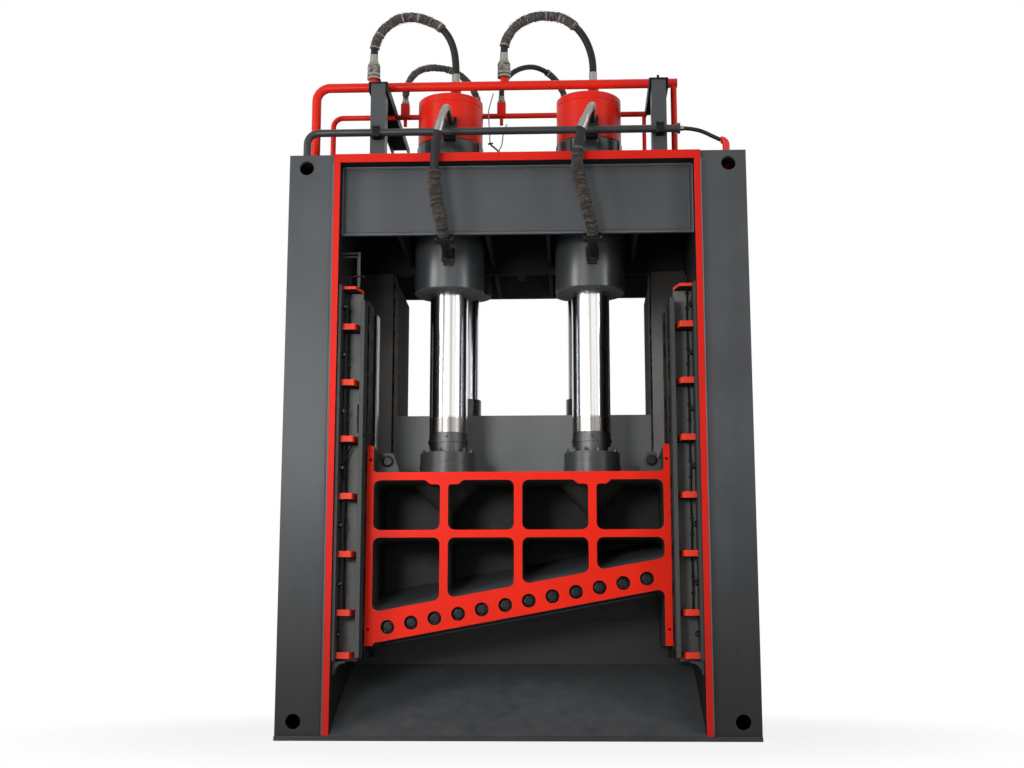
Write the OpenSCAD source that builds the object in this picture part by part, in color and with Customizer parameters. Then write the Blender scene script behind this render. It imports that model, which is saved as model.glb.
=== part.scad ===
// Hydraulic gantry shear for scrap metal: a gate frame with an inclined blade on a
// sliding carriage in front, and a press block on two rods behind it.
// Millimetres. Z is up, X runs across the machine, the front faces -Y.
// The origin is the centre of the base plate's underside.
// Modules measure Y back from the front plane of the frame; placed() centres them.

/* [Frame] */
// Overall width
frame_w = 3500; // [3440:10:3800]
// Overall depth
frame_d = 2400; // [2380:10:2700]
// Height of the top plate's upper face
frame_h = 4400; // [4380:10:4700]
// Thickness of the base plate
base_t = 35; // [25:1:45]
// Clear width between the two side plates
throat_w = 2706; // [2680:2:2750]
// Thickness of each side plate
side_t = 50; // [40:1:60]
// Thickness of the column plates
column_t = 40; // [25:1:45]
// Distance from the side plates' front edges back to the column fronts
column_setback = 25; // [15:1:35]
// Thickness of the top plate
top_t = 68; // [50:1:80]
// Lifting hole diameter
lift_hole_d = 110; // [80:1:125]
// Lifting hole centre, in from the outer face
lift_hole_inset = 133; // [120:1:150]
// Upper lifting hole centre, below the top
lift_hole_drop = 103; // [100:1:200]
// Lower lifting hole centre, above the base plate
lift_hole_rise = 99; // [80:1:150]

/* [Beam] */
// Height of the beam's front panel
panel_h = 547; // [450:1:560]
// Thickness of the front and rear panels
panel_t = 30; // [20:1:40]
// Distance from the front plane to the front panel
panel_setback = 130; // [110:1:150]
// Thickness of the beam ribs
rib_t = 30; // [20:1:40]
// Height of the fore-and-aft ribs and of the rear panel
rib_h = 532; // [450:1:545]
// Distance of the inner ribs from the centre
inner_rib_x = 235; // [200:1:250]
// Distance of the outer ribs from the centre
outer_rib_x = 920; // [880:1:1000]
// Depth of the cross rib's front face
cross_rib_y = 1200; // [1190:1:1240]
// Thickness of the cross rib
cross_rib_t = 50; // [30:1:60]
// Height of the cross rib
cross_rib_h = 592; // [560:1:620]
// Distance from the rear plane to the rear panel
rear_panel_inset = 60; // [50:1:80]

/* [Guides] */
// Distance from the front plane to the guides' outer bars
guide_setback = 30; // [20:1:45]
// Thickness of the guides' outer bars
guide_bar_t = 25; // [15:1:35]
// Thickness of the guides' inner bars
inner_bar_t = 32; // [20:1:40]
// Depth of the guides' inner bars, front to back
inner_bar_d = 180; // [150:1:200]
// Thickness of the guides' back webs
web_t = 30; // [20:1:40]
// Height of the guides' lower ends
guide_bottom = 560; // [540:1:600]
// Height of the guides' upper ends
guide_top = 3375; // [3330:1:3420]
// Gap between the inner bars' upper ends and the guides' upper ends
inner_bar_drop = 107; // [80:1:130]
// Width of the guide boxes beside the carriage
guide_box_w = 195; // [180:1:210]
// Depth of the guide boxes, front to back
guide_box_d = 620; // [580:1:700]
// Distance from the carriage's front face forward to the guide boxes' front faces
guide_box_lead = 20; // [10:1:40]
// Thickness of the red guide ribs
guide_rib_t = 48; // [30:1:60]
// Height of the second guide rib from below
guide_rib_start = 910; // [880:1:940]
// Spacing of the regular guide ribs
guide_rib_pitch = 430; // [410:1:440]
// Number of regular guide ribs
guide_rib_n = 6; // [4:1:6]
// Distance from the front plane to the guide ribs
guide_rib_setback = 90; // [70:1:110]
// Width of the chamfer at the guide ribs' inner ends
rib_chamfer_w = 40; // [20:1:50]
// Length of that chamfer, front to back
rib_chamfer_d = 150; // [100:1:150]
// Size of the curved gussets under the guides
gusset_r = 95; // [70:1:110]
// Thickness of the curved gussets
gusset_t = 120; // [40:1:140]
// Thickness of the carriage liners
liner_t = 11.5; // [6:0.5:16]
// Running gap between sliding faces
slide_gap = 0.5; // [0.3:0.1:1]
// Width of the carriage tongue, front to back
tongue_w = 260; // [200:1:300]
// Height of the tongue out of the carriage's side
tongue_h = 60; // [40:1:70]

/* [Carriage] */
// Distance from the front plane to the carriage's front face
carriage_y = 300; // [290:1:310]
// Depth of the carriage, front to back
carriage_d = 800; // [760:1:820]
// Height of the carriage's foot when closed
foot_z = 671; // [650:1:690]
// Height of the carriage's top face above its foot
carriage_h = 1300; // [1250:1:1320]
// Height of the horns above the top face
horn_h = 207; // [180:1:220]
// Width of the horns
horn_w = 47; // [35:1:60]
// Angle of the cut
cut_angle = 10.37; // [8:0.01:11]
// Width of the left foot
foot_w = 61; // [50:1:80]
// Rise from the foot to the cutting edge
foot_rise = 22; // [10:1:30]
// Width of the right leg
leg_w = 55; // [45:1:80]
// Height of the solid band above the cutting edge
band_h = 229; // [215:1:240]
// Thickness of the carriage's side walls
carriage_side_t = 51; // [40:1:65]
// Thickness of the carriage's upright ribs
carriage_rib_t = 62; // [40:1:80]
// Distance of the outer upright ribs from the centre
carriage_rib_x = 560; // [545:1:580]
// Thickness of the carriage's top rail
top_rail_t = 61; // [50:1:80]
// Extra thickness of the pads under the rods
pad_t = 32; // [20:1:45]
// Half width of the pads under the rods
pad_half_w = 105; // [95:1:130]
// Distance from the top face down to the middle rail
mid_rail_drop = 438; // [400:1:450]
// Thickness of the middle rail
mid_rail_t = 57; // [40:1:70]
// Radius of the pocket corners
pocket_r = 50; // [20:1:55]
// Thickness of the carriage's back plate
carriage_back_t = 50; // [30:1:60]
// Rise of the lower pockets' floors from front to back
floor_rise = 178; // [120:1:190]
// Diameter of the load cones under the rods
cone_d = 530; // [480:1:560]
// Height of the load cones
cone_h = 250; // [200:1:300]
// Number of blade bolts
blade_bolt_n = 12; // [8:1:12]
// Spacing of the blade bolts along X
blade_bolt_pitch = 176; // [160:1:180]
// Height of the blade bolts above the cutting edge
blade_bolt_rise = 99; // [90:1:110]
// Diameter of the counterbores for the blade bolts
counterbore_d = 104; // [90:1:120]
// Depth of the counterbores
counterbore_depth = 90; // [70:1:120]
// Diameter of the blade bolts' shanks
blade_bolt_d = 48; // [36:1:52]
// Clearance around a bolt's shank
bolt_gap = 1; // [0.5:0.1:2]
// Diameter of the tapped holes in the corners of the front
corner_hole_d = 22; // [16:1:30]
// Diameter of the lugs' lifting pins
lug_pin_d = 60; // [40:1:64]
// Thickness of the lifting lugs
lug_t = 50; // [30:1:70]
// Height of the lifting lugs
lug_h = 184; // [170:1:200]

/* [Blades] */
// Depth of the cutting plane behind the front plane
cut_y = 1110; // [1108:1:1125]
// Gap between the two blades
blade_gap = 0.5; // [0.3:0.1:2]
// Thickness of the upper blade
upper_blade_t = 60; // [45:1:70]
// Height of the upper blade
upper_blade_h = 190; // [175:1:205]
// How far the upper blade stands below the carriage's edge
upper_blade_proud = 8; // [4:1:16]
// Thickness of the lower blade
lower_blade_t = 70; // [50:1:90]
// Height of the lower blade
lower_blade_h = 220; // [180:1:240]
// Height of the table and of the lower blade's edge
table_z = 1100; // [1094:1:1104]
// Number of lower blade bolts
lower_bolt_n = 8; // [4:1:10]
// Spacing of the lower blade bolts
lower_bolt_pitch = 264; // [220:1:280]

/* [Chute and table] */
// Height of the chute's rear edge
chute_z = 532; // [500:1:560]
// Thickness of the chute plate
chute_t = 20; // [12:1:25]
// Depth of the knife beam's front face
knife_beam_y = 1130; // [1126:1:1140]
// Depth of the knife beam, front to back
knife_beam_d = 220; // [190:1:260]
// Thickness of the knife beam's end cheeks
cheek_t = 20; // [12:1:25]
// Thickness of the feed table's plates
table_t = 40; // [25:1:50]

/* [Rear columns] */
// Width of the rear opening
rear_opening_w = 2146; // [2130:2:2170]
// Thickness of the rear columns' plates
rear_column_t = 35; // [20:1:45]
// Distance from the rear plane to the rear columns
rear_column_inset = 50; // [40:1:80]
// Thickness of the press block's liners
press_liner_t = 12.5; // [8:0.5:16]
// Width of the press block's liners, front to back
press_liner_w = 240; // [160:1:300]

/* [Main cylinders] */
// Distance of the main cylinders from the centre
main_x = 565; // [555:1:575]
// Depth of the main cylinders' axes
main_y = 700; // [690:1:710]
// Diameter of the main rods
main_rod_d = 300; // [270:1:305]
// Bore of the main cylinders
main_bore_d = 400; // [380:1:405]
// Outer diameter of the main cylinders below the top plate
collar_d = 556; // [530:1:570]
// Length of the main cylinders below the top plate
collar_len = 892; // [870:1:900]
// Diameter of the main cylinders' necks above the shoulder
neck_d = 480; // [450:1:490]
// Diameter of the round nuts
nut_d = 540; // [520:1:560]
// Height of the round nuts
nut_h = 280; // [260:1:300]
// Diameter of the red end caps
cap_d = 525; // [510:1:535]
// Height of the red end caps
cap_h = 380; // [370:1:420]
// Thickness of the end caps' lids
cap_lid_t = 60; // [40:1:65]
// Length of the main glands
gland_h = 160; // [120:1:170]
// Height of the main pistons
piston_h = 160; // [120:1:170]
// Radial running clearance of rods and pistons
run_fit = 0.05; // [0.02:0.01:0.08]
// Stroke of the knife
knife_stroke = 1100; // [1000:10:1110]

/* [Rod feet] */
// Diameter of the rod flanges
flange_d = 438; // [420:1:450]
// Height of the rod flanges
flange_h = 184; // [160:1:190]
// Extra diameter of the flanges' lower halves
flange_step = 8; // [4:1:16]
// Width of the dark gap round the rod's foot
foot_gap = 14; // [8:1:18]
// Height of the rod's foot sleeve above the top face
sleeve_h = 346; // [320:1:380]
// Diameter of the collar at the foot of the sleeve
sleeve_collar_d = 360; // [345:1:370]
// Number of bolts in each flange
flange_bolt_n = 12; // [8:1:14]
// Width of the flange bolts' heads
flange_bolt_w = 30; // [24:1:36]

/* [Press] */
// Distance of the press rods from the centre
press_x = 480; // [465:1:490]
// Depth of the press rods' axes
press_y = 1600; // [1590:1:1620]
// Diameter of the press rods
press_rod_d = 200; // [180:1:210]
// Bore of the press cylinders
press_bore_d = 280; // [260:1:290]
// Outer diameter of the press cylinders
press_barrel_d = 360; // [340:1:380]
// Diameter of the press cylinders' lower heads
press_head_d = 400; // [385:1:415]
// Length of the press cylinders below the top plate
press_drop = 692; // [680:1:692]
// Length of the press cylinders above the top plate
press_rise = 460; // [440:1:520]
// Diameter of the press rods' end fittings
fitting_d = 236; // [220:1:260]
// Height of the press rods' end fittings
fitting_h = 194; // [150:1:194]
// Height of the press block
press_block_h = 1440; // [1380:1:1440]
// Depth of the press block, front to back
press_block_d = 840; // [800:1:880]
// Wall thickness of the press block
press_wall_t = 60; // [40:1:80]
// Stroke of the press
press_stroke = 900; // [800:10:900]

/* [Pipework] */
// Diameter of the large red pipe
big_pipe_d = 75; // [60:1:78]
// Height of the large red pipe above the top plate
big_pipe_rise = 752; // [740:1:770]
// Depth of the large red pipe
big_pipe_y = 552; // [550:1:560]
// Diameter of the small red pipe
small_pipe_d = 45; // [38:1:55]
// Height of the small red pipe above the top plate
small_pipe_rise = 680; // [670:1:700]
// Depth of the small red pipe
small_pipe_y = 1050; // [1030:1:1080]
// Diameter of the grey pipe
grey_pipe_d = 60; // [50:1:64]
// Height of the grey pipe above the top plate
grey_pipe_rise = 270; // [260:1:280]
// Depth of the grey pipe
grey_pipe_y = 280; // [276:1:286]
// Width of the pipe posts
post_w = 118; // [100:1:130]
// Depth of the pipe posts, front to back
post_d = 160; // [140:1:162]
// Distance of the pipe posts from the centre
post_x = 1118; // [1100:1:1130]
// Depth of the pipe posts' front faces
post_y = 340; // [335:1:345]
// Width of the channel arms that carry the red pipes
arm_w = 152; // [145:1:160]
// Height of the arms' flanges
arm_h = 78; // [70:1:90]
// Thickness of the arms
arm_t = 8; // [6:0.5:9]
// Depth that the left arm reaches behind the front plane
arm_reach_left = 1960; // [1200:10:2200]
// Depth that the right arm reaches behind the front plane
arm_reach_right = 1150; // [1150:10:2200]
// Diameter of the front hoses
front_hose_d = 70; // [60:1:74]
// Diameter of the arched hoses
arch_hose_d = 60; // [50:1:64]
// Diameter of the rear hoses
rear_hose_d = 45; // [38:1:50]
// Diameter of the short hose to the right column
side_hose_d = 32; // [26:1:34]

/* [Hidden] */
$fn = 48;
SIDES = [["left", -1], ["right", 1]];

// Paints and metals
paint_grey = [0.40, 0.42, 0.43];
paint_red = [0.72, 0.05, 0.05];
steel = [0.55, 0.56, 0.58];
chrome = [0.80, 0.82, 0.85];
black = [0.07, 0.07, 0.08];
grease = [0.22, 0.14, 0.09];

// Frame
half_w = frame_w / 2;
half_throat = throat_w / 2;
column_x = half_throat + side_t;
plate_z = frame_h - top_t;
lift_x = half_w - lift_hole_inset;
lift_z = [base_t + lift_hole_rise, frame_h - lift_hole_drop];
seat_z = frame_h - 700; // upper face of the diaphragm that the pipe legs stand on
diaphragm_pitch = 1200;

// Guides and carriage
box_x = half_throat - guide_box_w;
carriage_half = box_x - liner_t - slide_gap;
box_y = carriage_y - guide_box_lead;
box_bottom = guide_bottom + 25;
box_top = guide_top - 75;
carriage_back = carriage_y + carriage_d;
carriage_top = foot_z + carriage_h;
horn_z = carriage_top + horn_h;
tongue_y = carriage_y + carriage_d * 0.4375;
rib_heights = [
    guide_bottom + 42,
    for (i = [0 : guide_rib_n - 1]) guide_rib_start + i * guide_rib_pitch,
    guide_top
];
cells = [for (i = [1 : len(rib_heights) - 1]) (rib_heights[i - 1] + rib_heights[i]) / 2];

// Gap under a piece that only rests on another
seat_gap = 0.3;

// Cylinders
collar_z = plate_z - collar_len;
piston_z = collar_z + gland_h + 20;
nut_top = frame_h + nut_h;
cap_top = nut_top + cap_h;
press_head_z = plate_z - press_drop;
press_half = rear_opening_w / 2 - press_liner_t - slide_gap;
press_front = press_y - press_block_d / 2;
press_bottom = table_z + slide_gap;
press_top = press_bottom + press_block_h - slide_gap;
press_cap_z = frame_h + press_rise;

// Pipe heights
big_z = frame_h + big_pipe_rise;
small_z = frame_h + small_pipe_rise;
grey_z = frame_h + grey_pipe_rise;
big_leg_x = half_w - 102;
small_leg_x = (column_x + half_w) / 2 + 13.5;
grey_leg_x = half_w - 85;
big_end_x = 1280;
small_end_x = 1060;
grey_end_x = 1250;
big_stub_x = [-1185, -121];
small_tee_x = [-980, -165];
arm_z = big_z - big_pipe_d / 2 - seat_gap; // the big pipe rests on the arms
arm_front = post_y - 12;
port_x = 14; // how far the collar ports lie to the right of the cylinders' axes
port_z = collar_z + 255;
port_front = 382; // depth of the collar ports' flanges
port_back = 480;
port_flange_t = 20;
port_flange_w = 104;
port_pipe_d = 70;
port_bend_r = 60;
port_bend_y = 95;
clamp_h = 42;
clamp_tilt = 45;
// direction in which a front hose enters its collar port, and the seat of its clamp
port_in = [0, sin(clamp_tilt), -cos(clamp_tilt)];
clamp_seat = [
    0, port_bend_y - port_bend_r * sin(clamp_tilt), port_z + port_bend_r * (1 - cos(clamp_tilt))
];
cap_port_x = 24; // how far the cap ports lie to the right of the cylinders' axes
cap_top_x = 40; // the same for the nipples on top of the caps
press_port_x = press_x - 95;
stub_d = 60;
stub_h = 66;
tee_w = 72;
tee_h = 110;
big_drop_d = 50;
small_drop_d = 34;
collar_hex_h = 122;
collar_hex_w = 105;
small_hex_h = 30;
small_hex_w = 64;
cap_nipple_h = 60;
cap_hex_h = 80;
press_hex_h = 40;
ferrule_wall = 3;
arch_low_z = big_z + 278; // where the hoses leave their ferrules
arch_high_z = cap_top + 250;
rear_low_z = small_z + 170;
rear_high_z = press_cap_z + 140;
side_nipple = [1275, 1305];
column_elbow_r = 40;
column_elbow_d = 56;
column_elbow_z = frame_h + 130;
elbow_z = nut_top + 112;
elbow_r = 170;
elbow_drop = 248; // from the cap port down to the end of the ferrule, along the elbow's leg
elbow_swing = [13.5, 21.5]; // how far the elbows are swung to the left, left and right
hose_y = -60; // depth of the front hoses where they hang in front of the beam

// Hose routes: X, depth behind the front plane, height above the frame's top
front_route_left = concat([elbow_end(0)], raised([
    [-611, -60, 40], [-622, -61, -90], [-623, -62, -210], [-614, -62, -330],
    [-595, -62, -440], [-577, -54, -530], [-563, -26, -602]
]), [port_end(0)]);
front_route_right = concat([elbow_end(1)], raised([
    [482, -60, 60], [467, -61, -40], [464, -62, -140], [478, -62, -240], [500, -62, -335],
    [528, -62, -440], [553, -54, -530], [569, -26, -602]
]), [port_end(1)]);
arch_route_left = raised([
    [-1185, 552, 1030], [-1178, 556, 1120], [-1145, 568, 1210], [-1080, 584, 1300],
    [-980, 602, 1368], [-865, 622, 1387], [-750, 642, 1362], [-650, 660, 1310],
    [-582, 678, 1228], [-543, 692, 1125], [-527, 699, 1010], [-525, 700, 910]
]);
arch_route_right = raised([
    [-121, 552, 1030], [-114, 556, 1115], [-78, 568, 1205], [-10, 584, 1290],
    [85, 602, 1352], [195, 622, 1380], [305, 642, 1380], [405, 660, 1345],
    [490, 678, 1275], [552, 690, 1180], [589, 698, 1075], [603, 700, 985], [605, 700, 910]
]);
rear_route_left = raised([
    [-980, 1050, 850], [-976, 1056, 930], [-945, 1090, 1040], [-880, 1150, 1135],
    [-785, 1230, 1195], [-680, 1320, 1222], [-585, 1400, 1217], [-500, 1470, 1175],
    [-435, 1530, 1100], [-398, 1575, 1000], [-386, 1596, 890], [-385, 1600, 760],
    [-385, 1600, 600]
]);
rear_route_right = raised([
    [-165, 1050, 850], [-160, 1058, 935], [-120, 1085, 1030], [-55, 1130, 1110],
    [30, 1200, 1172], [120, 1280, 1203], [210, 1370, 1195], [290, 1450, 1150],
    [350, 1520, 1075], [379, 1570, 980], [385, 1598, 870], [385, 1600, 750],
    [385, 1600, 600]
]);
side_route = raised([
    [1305, 280, 270], [1380, 280, 260], [1450, 280, 240], [1530, 280, 200],
    [1590, 280, 170]
]);

// Points given from the frame's top, brought to their height
function raised(points) = [for (p = points) p + [0, 0, frame_h]];

// Height of the inclined cutting edge at a place across the machine
function edge_z(x) = foot_z + foot_rise + (x + carriage_half - foot_w - 7) * tan(cut_angle);

function unit(v) = v / norm(v);

// Direction of an elbow's leg, and the points where its front hose begins and ends
function elbow_leg(i) = [-sin(elbow_swing[i]), 0, -cos(elbow_swing[i])];
function elbow_end(i) = [SIDES[i][1] * main_x + cap_port_x, hose_y, elbow_z] + elbow_drop * elbow_leg(i);
function port_end(i) = [SIDES[i][1] * main_x + port_x, 0, 0] + clamp_seat - clamp_h * port_in;

// An angle brought into the range -180 to 180
function half_turn(a) = a > 180 ? a - 360 : a < -180 ? a + 360 : a;

// The arc that rounds the corner at p between its two neighbours
function corner_arc(before, p, after, r, steps) =
    let (
        a = unit(before - p),
        b = unit(after - p),
        half = acos(a * b) / 2,
        centre = p + unit(a + b) * r / sin(half),
        first = p + a * r / tan(half) - centre,
        last = p + b * r / tan(half) - centre,
        start = atan2(first[1], first[0]),
        sweep = half_turn(atan2(last[1], last[0]) - start)
    )
    [for (i = [0 : steps]) centre + r * [cos(start + sweep * i / steps), sin(start + sweep * i / steps)]];

// An outline whose corners are rounded to the radii given with them: [x, y, r]
function rounded(corners, steps = 5) =
    let (n = len(corners), at = [for (c = corners) [c[0], c[1]]])
    [
        for (i = [0 : n - 1])
            each corners[i][2] > 0
                ? corner_arc(at[(i + n - 1) % n], at[i], at[(i + 1) % n], corners[i][2], steps)
                : [at[i]]
    ];

module placed() translate([0, -frame_d / 2, 0]) children();

// Left-hand pieces are mirror images of the right-hand ones
module on_side(side) {
    if (side > 0) children();
    else mirror([1, 0, 0]) children();
}

// A block between two opposite corners
module block(low, high) translate(low) cube(high - low);

// An outline in X and Z, thickened from depth y0 to y1
module upright(y0, y1)
    translate([0, y1, 0]) rotate([90, 0, 0]) linear_extrude(y1 - y0) children();

// An outline in Y and Z, thickened from x0 to x1
module sideways(x0, x1)
    translate([x0, 0, 0]) rotate([90, 0, 90]) linear_extrude(x1 - x0) children();

// Round bars along Y, along X and upward
module bar_y(x, z, y0, y1, d) translate([x, y0, z]) rotate([-90, 0, 0]) cylinder(d = d, h = y1 - y0);
module bar_x(y, z, x0, x1, d) translate([x0, y, z]) rotate([0, 90, 0]) cylinder(d = d, h = x1 - x0);
module bar_z(x, y, z0, z1, d) translate([x, y, z0]) cylinder(d = d, h = z1 - z0);

// A hexagon standing upright, measured across its corners
module hex_z(x, y, z0, z1, d) translate([x, y, z0]) cylinder(d = d, h = z1 - z0, $fn = 6);

// A round tube swept along a route, with its end faces square to the given directions
module swept(route, d, across, first, last, sides = 12) {
    n = len(route);
    rings = [
        for (i = [0 : n - 1])
            let (
                along = i == 0 ? first : i == n - 1 ? last : unit(route[i + 1] - route[i - 1]),
                u = unit(cross(across, along)),
                v = cross(along, u)
            )
            for (k = [0 : sides - 1])
                route[i] + d / 2 * (cos(360 * k / sides) * u + sin(360 * k / sides) * v)
    ];
    walls = [
        for (i = [0 : n - 2]) for (k = [0 : sides - 1])
            let (here = i * sides, above = here + sides, next = (k + 1) % sides)
            each [[here + k, above + k, above + next], [here + k, above + next, here + next]]
    ];
    start_face = [for (k = [0 : sides - 1]) k];
    end_face = [for (k = [sides - 1 : -1 : 0]) (n - 1) * sides + k];
    polyhedron(points = rings, faces = concat([start_face], walls, [end_face]));
}

// A quarter bend of pipe in the XZ plane: level on the right, upright below on the left
module bend_down_left(x, y, z, r, d)
    translate([x + r, y, z - r]) rotate([90, 0, 0]) rotate([0, 0, 90])
        rotate_extrude(angle = 90) translate([r, 0]) circle(d = d);

// ---- Frame ----

module base_plate() {
    color(paint_grey)
    block([-half_w, 0, 0], [half_w, frame_d, base_t]);
}

module side_plate() {
    color(paint_grey)
    block([half_throat, 0, base_t], [column_x, frame_d, plate_z]);
}

module column_front() {
    back = column_setback + column_t;
    color(paint_grey)
    difference() {
        union() {
            block([column_x, column_setback, base_t], [half_w, back, frame_h]);
            // weld along the side plate
            translate([column_x, 0, base_t])
                linear_extrude(plate_z - base_t)
                    polygon([[0, 0], [column_setback, column_setback], [0, column_setback]]);
        }
        for (z = lift_z)
            bar_y(lift_x, z, column_setback - 1, back + 1, lift_hole_d);
    }
}

module column_shell(side) {
    front = column_setback + column_t;
    back = frame_d - column_t;
    outer = half_w - column_t;
    color(paint_grey)
    difference() {
        union() {
            block([outer, front, base_t], [half_w, frame_d, frame_h]);
            block([column_x, back, base_t], [outer, frame_d, frame_h]);
            block([column_x, front, frame_h - column_t], [outer, back, frame_h]);
            for (z = [seat_z : -diaphragm_pitch : seat_z - 2 * diaphragm_pitch])
                block([column_x, front, z - column_t], [outer, back, z]);
        }
        // holes for the pipe legs in the cap plate
        if (side < 0) {
            bar_z(big_leg_x, big_pipe_y, frame_h - column_t - 1, frame_h + 1, big_pipe_d + 4);
            bar_z(small_leg_x, small_pipe_y, frame_h - column_t - 1, frame_h + 1, small_pipe_d + 4);
        } else {
            bar_z(lift_x + 13, grey_pipe_y, frame_h - column_t - 1, frame_h + 1, grey_pipe_d + 4);
        }
    }
}

module top_plate() {
    color(paint_grey)
    difference() {
        block([-column_x, 0, plate_z], [column_x, frame_d, frame_h]);
        for (side = [-1, 1]) {
            bar_z(side * main_x, main_y, plate_z - 1, frame_h + 1, neck_d + 2 * run_fit);
            bar_z(side * press_x, press_y, plate_z - 1, frame_h + 1, press_barrel_d + 2 * run_fit);
        }
    }
}

module beam_front_panel() {
    low = plate_z - panel_h;
    color(paint_grey)
    union() {
        block([-half_throat, panel_setback, low], [half_throat, panel_setback + panel_t, plate_z]);
        // weld line inside the border
        upright(panel_setback - 5, panel_setback)
            difference() {
                translate([-half_throat + 25, low + 22]) square([throat_w - 50, panel_h - 44]);
                translate([-half_throat + 35, low + 32]) square([throat_w - 70, panel_h - 64]);
            }
    }
}

module beam_ribs() {
    low = plate_z - rib_h;
    front = panel_setback + panel_t;
    rear = frame_d - rear_panel_inset - panel_t;
    color(paint_grey)
    for (side = [-1, 1]) {
        for (x = [inner_rib_x, outer_rib_x])
            block([side * x - rib_t / 2, front, low], [side * x + rib_t / 2, cross_rib_y, plate_z]);
        block([side * inner_rib_x - rib_t / 2, cross_rib_y + cross_rib_t, low],
            [side * inner_rib_x + rib_t / 2, rear, plate_z]);
    }
}

module beam_cross_rib() {
    low = plate_z - cross_rib_h;
    color(paint_grey)
    union() {
        block([-half_throat, cross_rib_y, low], [half_throat, cross_rib_y + cross_rib_t, plate_z]);
        block([-30, cross_rib_y, low - 45], [30, cross_rib_y + cross_rib_t, low]);
    }
}

module beam_rear_panel() {
    back = frame_d - rear_panel_inset;
    color(paint_grey)
    block([-half_throat, back - panel_t, plate_z - rib_h], [half_throat, back, plate_z]);
}

module chute_plate() {
    slope = (chute_z - base_t - 5) / knife_beam_y;
    color(paint_grey)
    sideways(-half_throat, half_throat)
        polygon([
            [0, base_t], [(chute_t - 5) / slope, base_t],
            [knife_beam_y, chute_z - chute_t], [knife_beam_y, chute_z], [0, base_t + 5]
        ]);
}

module lower_knife_beam() {
    opening = rear_opening_w / 2;
    seat_y = cut_y + blade_gap + lower_blade_t;
    color(paint_grey)
    difference() {
        union() {
            block([-opening, knife_beam_y, base_t], [opening, knife_beam_y + knife_beam_d, table_z]);
            block([-half_throat, knife_beam_y, base_t], [half_throat, knife_beam_y + cheek_t, table_z]);
        }
        block([-opening, knife_beam_y - 1, table_z - lower_blade_h], [opening, seat_y, table_z + 1]);
    }
}

module feed_table() {
    front = knife_beam_y + knife_beam_d;
    opening = rear_opening_w / 2;
    color(paint_grey)
    union() {
        block([-opening, front, table_z - table_t], [opening, frame_d, table_z]);
        block([-opening, frame_d - table_t, base_t], [opening, frame_d, table_z - table_t]);
        for (x = [-opening, -table_t / 2, opening - table_t])
            block([x, front, base_t], [x + table_t, frame_d - table_t, table_z - table_t]);
    }
}

lower_bolt_x = [for (i = [0 : lower_bolt_n - 1]) (i - (lower_bolt_n - 1) / 2) * lower_bolt_pitch];

module lower_blade() {
    front = cut_y + blade_gap;
    half_length = rear_opening_w / 2;
    z = table_z - lower_blade_h / 2;
    color(steel)
    difference() {
        block([-half_length, front, table_z - lower_blade_h], [half_length, front + lower_blade_t, table_z]);
        for (x = lower_bolt_x) bar_y(x, z, front - 1, front + lower_blade_t / 2, 66);
    }
}

module lower_blade_bolts() {
    front = cut_y + blade_gap;
    z = table_z - lower_blade_h / 2;
    color(steel)
    for (x = lower_bolt_x)
        difference() {
            bar_y(x, z, front + 6, front + lower_blade_t / 2, 60);
            translate([x, front + 5, z]) rotate([-90, 0, 0]) cylinder(d = 32, h = 16, $fn = 6);
        }
}

// ---- Guides ----

module guide() {
    back = box_y;
    web_front = back - web_t;
    color(paint_grey)
    union() {
        block([half_throat - guide_bar_t, guide_setback, guide_bottom], [half_throat, back, guide_top]);
        block([box_x + inner_bar_t, web_front, guide_bottom], [half_throat - guide_bar_t, back, guide_top]);
        block([box_x, back - inner_bar_d, box_bottom],
            [box_x + inner_bar_t, back, guide_top - inner_bar_drop]);
        // curved gusset under the guide
        upright(guide_rib_setback, guide_rib_setback + gusset_t)
            difference() {
                translate([half_throat - gusset_r, guide_bottom - gusset_r]) square(gusset_r);
                translate([half_throat - gusset_r, guide_bottom - gusset_r]) circle(r = gusset_r - 12);
            }
    }
}

module guide_ribs() {
    outer = half_throat - guide_bar_t;
    inner = box_x + inner_bar_t;
    back = box_y - web_t;
    color(paint_red)
    for (z = rib_heights)
        translate([0, 0, z - guide_rib_t / 2])
            linear_extrude(min(guide_rib_t, guide_top - z + guide_rib_t / 2))
                polygon([
                    [outer, back], [outer, guide_rib_setback],
                    [inner + rib_chamfer_w, guide_rib_setback],
                    [inner, guide_rib_setback + rib_chamfer_d], [inner, back]
                ]);
}

module guide_bolts() {
    x = half_throat - guide_bar_t;
    y = guide_setback + 90;
    color(steel)
    for (side = [-1, 1]) on_side(side)
        for (z = cells) {
            translate([x - 24, y, z]) rotate([0, 90, 0]) cylinder(d = 46, h = 24, $fn = 6);
            bar_x(y, z, x - 36, x - 24, 24);
        }
}

module guide_box() {
    groove = [tongue_y - tongue_w / 2 - slide_gap, tongue_y + tongue_w / 2 + slide_gap];
    color(paint_grey)
    difference() {
        block([box_x, box_y, box_bottom], [half_throat, box_y + guide_box_d, box_top]);
        block([box_x - 1, groove[0], box_bottom - 1], [box_x + tongue_h, groove[1], box_top + 1]);
    }
}

module guide_liners() {
    color(grease)
    for (side = [-1, 1]) on_side(side) {
        block([box_x - liner_t, box_y, box_bottom],
            [box_x, tongue_y - tongue_w / 2 - slide_gap, box_top]);
        block([box_x - liner_t, tongue_y + tongue_w / 2 + slide_gap, box_bottom],
            [box_x, box_y + guide_box_d, box_top]);
    }
}

// ---- Rear columns ----

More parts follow.
